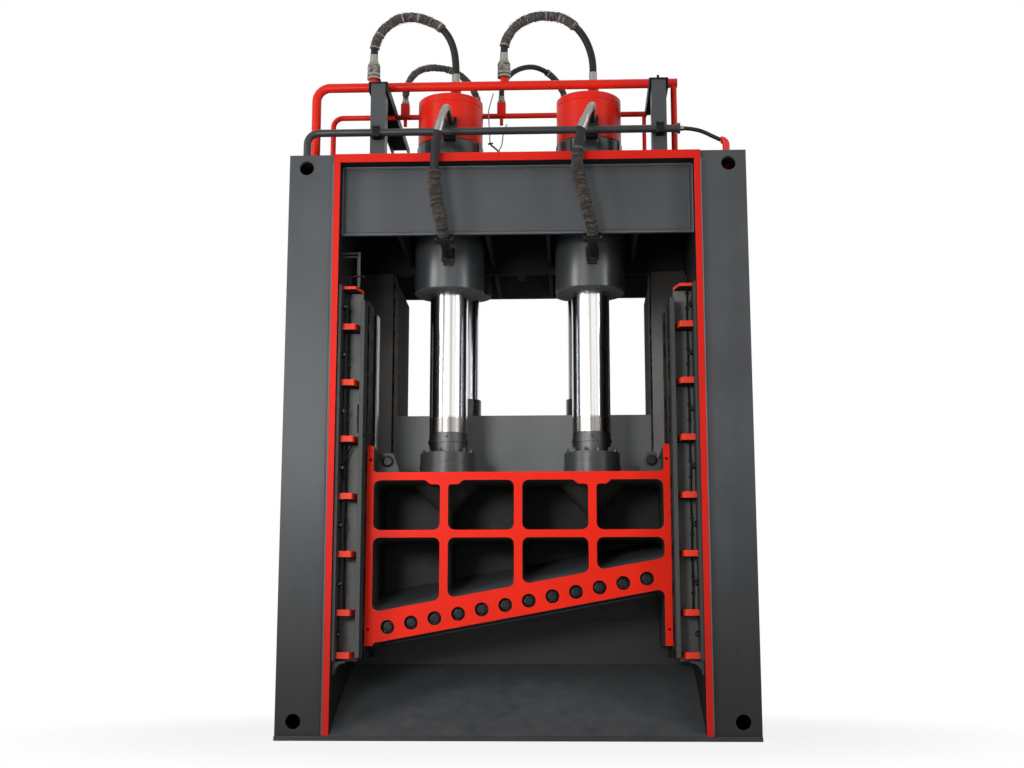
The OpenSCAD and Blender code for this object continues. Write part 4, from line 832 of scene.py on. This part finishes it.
# %% The finishes that need them
paint.update({
    "fittings": plated_and_red(
        "hose fittings",
        red_box=((-FAR, 0.62, CAP_TOP - 0.01), (FAR, 0.78, CAP_TOP + 0.139)),
        worn_boxes=[((-FAR, 0.46, STUB_TOP - 0.01), (FAR, 0.62, STUB_TOP + 0.121)),
                    ((-FAR, 0.95, TOP), (FAR, 1.12, TOP + 0.90))]),
    "elbows": plated_and_red("elbows", red_box=((1.3, -FAR, 0), (FAR, FAR, FAR)), rub=0.0),
    "liners": liner_finish("slide liners", (0.030, 0.027, 0.025), 0.60),
    "press_grease": liner_finish("press liners", (0.050, 0.034, 0.024)),
})
print("finishes:", sorted(paint))


# %% Round the edges and give each solid its finish
def finish_of(name):
    return next(finish for finish, names in FINISH.items() for n in names.split()
                if name == n or (n[-1] == "_" and name.startswith(n)))


for name, solid in nodes.items():
    if not solid.hide_render:
        solid.modifiers.new("weld", "WELD").merge_threshold = 0.00005
        bevel = solid.modifiers.new("bevel", "BEVEL")
        bevel.width = ROUNDING.get(name, 0.003)
        bevel.segments = 2
        bevel.limit_method = "ANGLE"
        bevel.angle_limit = math.radians(40)
        bevel.use_clamp_overlap = True
        solid.modifiers.new("flat faces", "WEIGHTED_NORMAL").weight = 90
        for material_slot in solid.material_slots:
            material_slot.material = paint[finish_of(name)]

# %% [markdown]
# ## Woven sleeves
# A hose that rubs against steel gets a woven sleeve pulled over it. Where the hose bends, the
# sleeve bunches up into soft folds, every one a little different. The folds here are real
# shape: a fold is a hump of radius with a sharp valley behind it, pushed off centre by noise.


# %% A sleeve with folds
def uneven(distance, angle, along, around, seed):
    """Noise on a sleeve. along and around are larger where it changes faster."""
    return noise.noise(Vector((distance * along, math.cos(angle) * around,
                               math.sin(angle) * around + seed)))


def folded(seed, base, height, pitch, slack=0.004):
    """The outer radius of a sleeve that has bunched up into folds."""
    draw = random.Random(seed)
    ends, reached = [], 0.0
    while reached < 3.0:  # longer than any hose
        reached += pitch * draw.uniform(0.6, 1.4)
        ends.append((reached, draw.uniform(0.35, 1.0), draw.uniform(0, 6.28)))

    def radius(distance, angle):
        reach = distance + 0.25 * pitch * math.sin(angle + 1.3 * distance / pitch)
        start = 0.0
        for end, size, turn in ends:
            if reach < end:
                share = max(0.0, (reach - start) / (end - start))
                hump = math.sin(math.pi * share ** 0.8) ** 0.5
                hump *= size * (0.7 + 0.3 * math.sin(angle + turn))
                break
            start = end
        ripple = uneven(distance, angle, 34, 1.6, seed)
        crease = uneven(distance, angle, 75, 3.2, seed)
        sag = uneven(distance, angle, 9, 1, -seed)
        return base + height * hump + 0.0030 * ripple + 0.0022 * crease + slack * sag

    return radius


SLEEVE_STEP, DRAWN_IN = 0.007, 0.022  # between its rings, and at each of its ends


def sleeve(hose, start, end, wall, height, pitch, finish, seed):
    """A sleeve over a hose from one distance along it to another, drawn in at both ends."""
    core = ROUTES[hose][0] / 2
    foot = core + 0.0015
    shape = folded(seed, core + wall, height, pitch)

    def radius(distance, angle):
        edge = min(distance, end - start - distance) / DRAWN_IN
        pull = 1.0 if edge > 1 else math.sqrt(max(0.0, 1 - (1 - edge) ** 2))
        return foot + (shape(distance, angle) - foot) * pull

    mesh = bmesh.new()
    line = stretch_of(hose_line[hose], start, end, SLEEVE_STEP)
    add_skin(mesh, line, radius, 28, inner=core - 0.004)
    keep(mesh, "sleeve_" + hose.replace("hose_", ""), finish, smooth=70)


# hose, start, end, thickness of the cloth, height and pitch of the folds, finish, seed
for row in (
    ("front_hose_left", 0.315, total["front_hose_left"] - 0.004, 0.0068, 0.0165, 0.058,
     "sleeve", 3),
    ("front_hose_right", 0.165, total["front_hose_right"] - 0.004, 0.0068, 0.0165, 0.055,
     "sleeve", 8),
    ("arch_hose_left", 0.075, 0.66 * total["arch_hose_left"], 0.0060, 0.006, 0.042,
     "arch_sleeve", 5),
    ("arch_hose_right", 0.075, 0.66 * total["arch_hose_right"], 0.0060, 0.006, 0.042,
     "arch_sleeve", 12),
    ("rear_hose_left", 0.02, 0.93 * total["rear_hose_left"], 0.0045, 0.003, 0.040,
     "arch_sleeve", 21),
    ("rear_hose_right", 0.48 * total["rear_hose_right"], 0.97 * total["rear_hose_right"],
     0.0045, 0.003, 0.040, "arch_sleeve", 30),
):
    sleeve(*row)

# %% [markdown]
# ## Bands and loose threads
# The sleeves of the arches and rear hoses are held by turns of pale tape, and their weave has
# frayed: fine threads stand off the cloth and catch the light against the sky. Each thread is
# a short three-sided tube, and its place and lean come from a seeded draw, so that every run
# of the script makes the same ones.


# %% Turns of tape
NOISE_SHIFT = 0.4  # a band's noise is taken this far along, where its folds have begun


def bands(name, hose, shares, proud, width=0.013, finish="tape"):
    """Bands around a hose at shares of its length, proud of its rubber."""
    mesh = bmesh.new()
    core = ROUTES[hose][0] / 2
    for share in shares:
        middle = share * total[hose]
        line = stretch_of(hose_line[hose], middle - width / 2, middle + width / 2, width / 4)
        wobble = folded(int(share * 997), core + proud, 0.0, 0.04, slack=0.0008)
        add_skin(mesh, line, lambda d, a: wobble(d + NOISE_SHIFT, a), 26, inner=core - 0.003)
    keep(mesh, name, finish, smooth=60)


bands("bands_arch_left", "arch_hose_left", (0.055, 0.155, 0.36, 0.47, 0.56, 0.63), 0.0098)
bands("bands_arch_right", "arch_hose_right", (0.055, 0.30, 0.44, 0.53, 0.56, 0.64), 0.0098)
bands("bands_rear", "rear_hose_left", (0.04, 0.44, 0.46, 0.70), 0.0085)
bands("bands_rear_right", "rear_hose_right", (0.49, 0.96), 0.0085)
bands("clamp_front_right", "front_hose_right", (0.19,), 0.0075, width=0.010, finish="steel")

# %% Frayed threads
THREAD = 0.00075  # radius


def threads(name, hose, start, end, count, seed, reach):
    """Loose threads that lean off a sleeve. start and end are shares of the hose."""
    draw = random.Random(seed)
    mesh = bmesh.new()
    line = even_line(hose_line[hose], 200)
    frames = turned_frames(line)
    core = ROUTES[hose][0] / 2 + 0.0075
    for _ in range(count):
        i = round(draw.uniform(start, end) * 199)
        angle, lean, long = draw.uniform(0, 6.28), draw.uniform(-1, 1), draw.uniform(0.5, 1.6)
        way = (line[min(i + 1, 199)] - line[max(i - 1, 0)]).normalized()
        path = []
        for k in range(6):
            turn = angle + long * k / 5
            out = frames[i][0] * math.cos(turn) + frames[i][1] * math.sin(turn)
            lift = reach * draw.uniform(0.35, 1.0) * math.sin(math.pi * (k + 0.4) / 5.8)
            path.append(line[i] + way * (lean * 0.012 * k) + out * (core + lift))
        add_skin(mesh, path, THREAD, 3)
    keep(mesh, name, "thread", smooth=70)


threads("threads_arch_left", "arch_hose_left", 0.06, 0.65, 110, 41, 0.016)
threads("threads_arch_right", "arch_hose_right", 0.06, 0.65, 110, 42, 0.016)
threads("threads_rear", "rear_hose_left", 0.10, 0.80, 50, 43, 0.010)
threads("threads_front_left", "front_hose_left", 0.45, 0.97, 16, 44, 0.005)
threads("threads_front_right", "front_hose_right", 0.22, 0.97, 16, 45, 0.005)

# %% [markdown]
# ## Bolts
# A bolt head is a hexagon with its corners turned off, standing on a washer. It is built once
# as a function and set wherever two parts meet: on the flanges of the hose ports, on the
# saddles of the grey pipe and around the nuts. All the bolts of one place are one mesh.


# %% Bolt heads
def add_bolt(mesh, foot, way, width, spin):
    """A hexagon head of a given width over its corners, on a washer."""
    r = width / 2
    add_turned(mesh, foot, way, [(r * 1.25, 0), (r * 1.25, r * 0.22), (r * 1.18, r * 0.30)], 20)
    head = foot + way * r * 0.29
    add_turned(mesh, head, way, [(r, 0), (r, r * 0.85), (r * 0.84, r * 1.05)], 6, spin)


def add_socket(mesh, foot, way, width):
    """A round screw head with a hollow in its top."""
    r = width / 2
    profile = [(r, 0), (r, r * 1.3), (r * 0.9, r * 1.45), (r * 0.52, r * 1.45), (r * 0.46, r * 0.8)]
    add_turned(mesh, foot, way, profile, 18)


def bolt_set(name, feet, way, width, finish="dark_bolt", hexagon=True):
    """The bolts of one place. Hexagons are turned by a seeded draw."""
    mesh = bmesh.new()
    draw = random.Random(len(name))
    for foot in feet:
        if hexagon:
            add_bolt(mesh, foot, way, width, draw.uniform(0, 1))
        else:
            add_socket(mesh, foot, way, width)
    keep(mesh, name, finish, smooth=30)


def four(right, up):
    """The offsets of four bolts in a rectangle."""
    return [(sx * right, sz * up) for sx in (-1, 1) for sz in (-1, 1)]


# %% Bolts of the hose ports, which stand a little right of the cylinders' axes
HOSE_OUT = Vector((0, -1, 1)).normalized()
HOSE_ACROSS = Vector((0, 1, 1)).normalized()
FLANGE_SHIFT, BLOCK_SHIFT = 0.014, 0.024
FLANGE_FRONT, BLOCK_FRONT, BLOCK_FOOT_FRONT = 0.382, 0.395, 0.345
PORT_Z = COLLAR_FOOT + 0.255
for side, axis in AXIS.items():
    seat = hose_line["front_hose_" + side][-1] - HOSE_OUT * 0.012
    feet = [seat + Vector((dx, 0, 0)) + HOSE_ACROSS * dv for dx, dv in four(0.060, 0.030)]
    bolt_set("clamp_bolts_" + side, feet, HOSE_OUT, 0.020, "steel", hexagon=False)
    x = axis + FLANGE_SHIFT
    feet = [place(x + dx, FLANGE_FRONT, PORT_Z + dz) for dx, dz in four(0.040, 0.040)]
    bolt_set("port_bolts_" + side, feet, FORWARD, 0.020)
    x = axis + BLOCK_SHIFT
    feet = [place(x + 0.034, BLOCK_FRONT, TOP + 0.392 + dz) for dz in (-0.026, 0.026)]
    feet += [place(x + dx, BLOCK_FOOT_FRONT, TOP + 0.315) for dx in (-0.034, 0.026)]
    bolt_set("cap_port_bolts_" + side, feet, FORWARD, 0.021)


# %% Clamp rims that stand off the hose ports
def rounded_box(angle, right, up, corner=0.55):
    """A point on a box with round corners: a circle's, with its corners pushed out."""
    x, v = (math.copysign(abs(part) ** corner, part) for part in (math.cos(angle), math.sin(angle)))
    return Vector((x * right, 0, 0)) + HOSE_ACROSS * (v * up)


for side in SIDES:
    seat = hose_line["front_hose_" + side][-1] - HOSE_OUT * 0.010
    mesh = bmesh.new()
    path = [seat + rounded_box(2 * math.pi * k / 32, 0.0735, 0.0455) for k in range(33)]
    add_skin(mesh, path, 0.0058, 8)
    keep(mesh, "clamp_rim_" + side, "black", smooth=50)

# %% Studs around the nuts, and bolts of the saddles under the grey pipe
CYLINDER_DEPTH, STUD_CIRCLE = 0.700, 0.318
POST_X, SADDLE_FRONT, PIPE_DEPTH, PIPE_Z = 1.118, 0.240, 0.280, TOP + 0.270
for side, axis in AXIS.items():
    middle = place(axis, CYLINDER_DEPTH, TOP)
    ring = [middle + Vector((math.cos(a), math.sin(a), 0)) * STUD_CIRCLE
            for a in (math.radians(15 + 30 * k) for k in range(12))]
    bolt_set("nut_bolts_" + side, ring, UP, 0.030)
for side, sign in SIDES.items():
    x = sign * POST_X
    feet = [place(x + dx, SADDLE_FRONT, PIPE_Z + dz) for dx, dz in four(0.018, 0.034)]
    bolt_set("saddle_bolts_" + side, feet, FORWARD, 0.020)

# %% [markdown]
# ## Straps over the grey pipe
# Where the long grey pipe passes the posts, a bent strap with bolts above and below holds it
# in its saddle. The strap is a flat band bent over the pipe: an oblong section carried along
# half a circle.

# %% Straps
STRAP = [(0.0365, -0.018), (0.0365, 0.018), (0.0305, 0.018), (0.0305, -0.018)]  # radius, across
for side, sign in SIDES.items():
    centre = place(sign * POST_X, PIPE_DEPTH, PIPE_Z)
    mesh = bmesh.new()
    rows = []
    for k in range(25):
        a = math.pi * (0.5 + k / 24)
        way = Vector((0, math.cos(a), math.sin(a)))
        rows.append([mesh.verts.new(centre + way * r + Vector((dx, 0, 0))) for r, dx in STRAP])
    close_ends(mesh, rows)
    join_rings(mesh, rows)
    keep(mesh, "strap_" + side, "black")

# %% [markdown]
# ## Weld beads
# A weld bead is a low round ridge with even ripples, laid where two plates meet. Half of it
# sinks into the plates. The beads here run down the seams between the columns and the side
# plates, and around the beam's panel.

# %% Beads
RIPPLE = 0.009


def bead(name, seams, radius):
    mesh = bmesh.new()
    for n, (start, end) in enumerate(seams):
        start, end = Vector(start), Vector(end)
        steps = min(700, max(6, round((end - start).length / (RIPPLE / 2.6))))

        def shape(distance, angle):
            wave = abs(math.sin(math.pi * distance / RIPPLE + n))
            drift = noise.noise(Vector((distance * 7, n * 3.1, 0.5)))
            return radius * (0.84 + 0.16 * wave + 0.10 * drift)

        add_skin(mesh, [start.lerp(end, k / steps) for k in range(steps + 1)], shape, 7)
    keep(mesh, name, "bead", smooth=60)


SEAM_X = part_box("column_front_right")[0].x + 0.002
SEAM_DEPTH, SEAM_FOOT, SEAM_TOP = 0.0012, 0.04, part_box("side_plate_right")[1].z
for side, sign in SIDES.items():
    ends = [place(sign * SEAM_X, SEAM_DEPTH, z) for z in (SEAM_FOOT, SEAM_TOP)]
    bead("seam_" + side, [ends], 0.0055)

low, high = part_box("beam_front_panel")
INSET, INSET_ENDS = 0.004, 0.006  # of the beads from the panel's edges
left, right, foot, top = low.x + INSET, high.x - INSET, low.z + INSET, high.z - INSET
edges = [((left, low.y, z), (right, low.y, z)) for z in (foot, top)]
edges += [((x, low.y, low.z + INSET_ENDS), (x, low.y, high.z - INSET_ENDS)) for x in (left, right)]
bead("panel_seam", edges, 0.006)

# %% [markdown]
# ## Small tubes, wires and brackets
# Grease reaches the slides through thin tubes that run down the guides, from block to block.
# Between the cylinders hang two thin wires of the pressure sensors, and beside the left guide
# stands a frame of square tube with a position switch. All are drawn as smooth lines.


# %% Thin tubes
def thin_tube(name, routes, radius, finish, count, sides=8):
    """Tubes along smooth lines through (x, depth, z) points."""
    mesh = bmesh.new()
    for route in routes:
        add_skin(mesh, smooth_line([place(*p) for p in route], count), radius, sides)
    keep(mesh, name, finish, smooth=60)


RIB_PITCH, RIB_THICK, LOWEST_CELL = 0.430, 0.048, 0.910
TUBE_RADIUS, TUBE_DEPTH, CLIP_DEPTH = 0.0075, 0.238, 0.2305
for side, sign in SIDES.items():
    x = sign * (THROAT - 0.060)
    cells = [LOWEST_CELL + RIB_PITCH * k for k in range(6)]
    thin_tube("grease_tubes_" + side, [
        [(x, TUBE_DEPTH, z + RIB_THICK / 2),
         (x + sign * 0.003, TUBE_DEPTH - 0.002, z + RIB_PITCH / 2),
         (x, TUBE_DEPTH, z + RIB_PITCH - RIB_THICK / 2)] for z in cells],
              TUBE_RADIUS, "dark_bolt", 8)
    feet = [place(x, CLIP_DEPTH, z + RIB_PITCH * share) for z in cells for share in (0.34, 0.62)]
    bolt_set("tube_clips_" + side, feet, FORWARD, 0.022, "black")

thin_tube("grease_hoses", [
    [(-1.240, 0.235, 2.205), (-1.262, 0.205, 2.140), (-1.295, 0.190, 2.060),
     (-1.318, 0.200, 2.000)],
    [(-1.322, 0.235, 2.190), (-1.334, 0.205, 2.120), (-1.330, 0.190, 2.060),
     (-1.318, 0.200, 2.000)],
    [(-1.318, 0.200, 2.006), (-1.318, 0.205, 1.950), (-1.316, 0.232, 1.900)],
], 0.0055, "rubber", 24)
mesh = bmesh.new()
add_turned(mesh, place(-1.318, 0.198, 1.978), UP,
           [(0.010, 0), (0.015, 0.004), (0.015, 0.036), (0.010, 0.040)], 6)
keep(mesh, "grease_block", "dark_bolt")

# %% Wires between the cylinders, and their lead
thin_tube("sensor_wires", [
    [(-0.224, 0.86, 5.205), (-0.244, 0.80, 5.100), (-0.258, 0.78, 5.020),
     (-0.256, 0.78, 4.932), (-0.250, 0.78, 4.830), (-0.246, 0.78, 4.742)],
    [(-0.118, 1.05, 5.005), (-0.124, 0.98, 4.960), (-0.134, 0.90, 4.880),
     (-0.140, 0.80, 4.818), (-0.144, 0.78, 4.763), (-0.154, 0.78, 4.715),
     (-0.172, 0.78, 4.671), (-0.176, 0.78, 4.540), (-0.176, 0.78, 4.400)],
], 0.0050, "wire", 60)
thin_tube("sensor_lead", [
    [(-0.246, 0.78, 4.750), (-0.236, 0.78, 4.728), (-0.213, 0.78, 4.709),
     (-0.172, 0.78, 4.671)],
    [(-0.262, 0.78, 4.738), (-0.246, 0.775, 4.740), (-0.222, 0.78, 4.744)],
], 0.0075, "brown", 16)

# %% Tube frame beside the left guide, its arm and the position switch
thin_tube("switch_frame", [
    [(-1.352, 0.150, 3.650), (-1.290, 0.150, 3.650), (-1.212, 0.150, 3.650)],
    [(-1.212, 0.150, 3.656), (-1.211, 0.150, 3.540), (-1.210, 0.150, 3.382)],
    [(-1.352, 0.170, 3.628), (-1.290, 0.170, 3.628), (-1.226, 0.170, 3.628)],
    [(-1.226, 0.170, 3.634), (-1.225, 0.170, 3.540), (-1.224, 0.170, 3.376)],
], 0.009, "pipe", 4, sides=4)
thin_tube("switch_arm", [
    [(-1.300, 0.150, 3.452), (-1.235, 0.140, 3.464), (-1.165, 0.145, 3.462)],
], 0.0045, "black", 12)
thin_tube("slide_switch", [
    [(-1.205, 0.170, 2.262), (-1.170, 0.150, 2.240), (-1.140, 0.150, 2.235)],
    [(-1.150, 0.150, 2.250), (-1.118, 0.160, 2.244), (-1.092, 0.200, 2.232)],
    [(-1.205, 0.165, 2.470), (-1.206, 0.160, 2.370), (-1.204, 0.168, 2.262)],
], 0.0065, "dark_bolt", 10)

# %% [markdown]
# ## Rings, skirts and sockets
# A hexagon alone looks like a plain block. The real collar of an arch hose has turned skirts
# at the hexagon and a cone that runs up to the ferrule, and those catch light. The pins of the
# lifting lugs and the blade bolts get their rims too, and ride on the knife.

# %% Skirts and cones of the arch hoses' swivel nuts
SKIRT = [(0.0475, 0.0), (0.0535, 0.003), (0.0535, 0.018), (0.0495, 0.024)]
CONE = [(0.050, 0.0), (0.049, 0.006), (0.038, 0.026), (0.038, 0.034)]
skirts, cones = bmesh.new(), bmesh.new()
for side in SIDES:
    x, depth, _ = ROUTES["arch_hose_" + side][1][0]
    for up in (0.0, 0.030):
        add_turned(skirts, place(x, depth, STUB_TOP + up), UP, SKIRT, 32)
    add_turned(cones, place(x, depth, STUB_TOP + 0.121), UP, CONE, 32)
keep(skirts, "swivel_skirts", "worn_hex")
keep(cones, "swivel_cones", "worn_hex")

# %% Dark rings round the lugs' pins
RING = [(0.046, 0.0), (0.046, 0.004), (0.036, 0.006), (0.032, 0.002)]
low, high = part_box("lug_pins")
mesh = bmesh.new()
for x in (low.x + 0.030, high.x - 0.030):
    foot = Vector((x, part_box("carriage_lugs")[0].y, (low.z + high.z) / 2))
    add_turned(mesh, foot, FORWARD, RING, 28)
keep(mesh, "lug_rings", "black", body="knife")

# %% Rims and sockets of the blade bolts
BLADE_BOLTS, HEAD = 12, 0.044
RIM = [(0.036, 0.0), (0.036, 0.001), (0.034, 0.002), (0.021, 0.002)]
SOCKET = [(0.0225, 0.0), (0.0225, 0.0026), (0.018, 0.0005)]
low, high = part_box("blade_bolts")
first = Vector((low.x + HEAD, low.y, low.z + HEAD))
last = Vector((high.x - HEAD, low.y, high.z - HEAD))
rims, sockets = bmesh.new(), bmesh.new()
for i in range(BLADE_BOLTS):
    foot = first.lerp(last, i / (BLADE_BOLTS - 1))
    add_turned(rims, foot, FORWARD, RIM, 24)
    add_turned(sockets, foot, FORWARD, SOCKET, 6, i * 0.4)
keep(rims, "blade_bolt_rims", "dark_bolt", body="knife", smooth=30)
# the sockets wear the near-black inner finish, painted shade in their hollows
keep(sockets, "blade_bolt_sockets", "inner", body="knife", smooth=30)

# %% [markdown]
# ## Lengths of the hoses
# The length of each hose's line is measured once more. Both of its ends are held by fittings of the
# machine, and the sleeves, bands and threads are laid along it.

for name, (diameter, _) in ROUTES.items():
    line = hose_line[name]
    line_length(line)

# %% [markdown]
# ## Floor, sky and lamps
# The machine stands on a plain pale floor under a white sky. Mirrors and gloss see the same
# white as the camera does, but the sky's light on the machine stays gentle. Two tall soft
# lamps stand left and right of the camera: on a round drum each of them becomes an upright
# band of light, which shows its roundness far better than one lamp in front. A third, weak
# and narrow, lights the throat.


# %% What the camera and the mirrors see
def seen_rays(tree):
    """1 for the rays of the camera, of mirrors and of glass, 0 for the light on the object."""
    path = add(tree, "LightPath")
    seen = path["Is Camera Ray"].math("MAXIMUM", path["Is Glossy Ray"])
    return seen.math("MAXIMUM", path["Is Transmission Ray"])


# %% Floor, which turns to pure white away from the machine
bpy.ops.mesh.primitive_grid_add(x_subdivisions=8, y_subdivisions=8, size=160,
                                location=(0, 40, -0.0005))
floor = bpy.context.object
floor.name = "floor"
material, tree = open_material("pale floor")
pale = add(tree, "BsdfPrincipled", {"Base Color": (0.62, 0.62, 0.62), "Roughness": 0.9,
                                    "Specular IOR Level": 0.0})
white = add(tree, "Emission", {"Color": (1, 1, 1), "Strength": 1.0})
away = add(tree, "VectorMath", {0: add(tree, "NewGeometry")["Position"]}, operation="LENGTH")
share = seen_rays(tree) * away["Value"].ramp(2.2, 4.6, 0.86, 1.0)
blend = add(tree, "MixShader", {0: share, 1: pale[0], 2: white[0]})
add(tree, "OutputMaterial", {"Surface": blend[0]})
floor.data.materials.append(material)

# %% Sky
AMBIENT = 0.36
world = bpy.data.worlds.new("white sky")
world.use_nodes = True
scene.world = world
tree = world.node_tree
tree.nodes.clear()
strength = seen_rays(tree) * (1.0 - AMBIENT) + AMBIENT
sky = add(tree, "Background", {"Color": (1, 1, 1), "Strength": strength})
add(tree, "OutputWorld", {"Surface": sky[0]})


# %% Lamps
def lamp(name, where, aim, width, height, power, spread=180):
    """A soft lamp that looks at a point. A smaller spread keeps its light near its axis."""
    data = bpy.data.lights.new(name, "AREA")
    data.shape = "RECTANGLE"
    data.energy, data.size, data.size_y = power, width, height
    data.spread = math.radians(spread)
    light = bpy.data.objects.new(name, data)
    light.location = where
    light.rotation_euler = (Vector(aim) - Vector(where)).to_track_quat("-Z", "Y").to_euler()
    scene.collection.objects.link(light)


lamp("left strip", (-8.0, -7.2, 4.6), (0, 0, 3.2), 2.6, 6.5, 380)
lamp("right strip", (8.6, -6.8, 4.4), (0, 0, 3.2), 2.2, 6.5, 215)
lamp("middle", (-3.6, -10.5, 3.2), (-0.4, 0, 2.7), 2.4, 2.0, 40, spread=50)
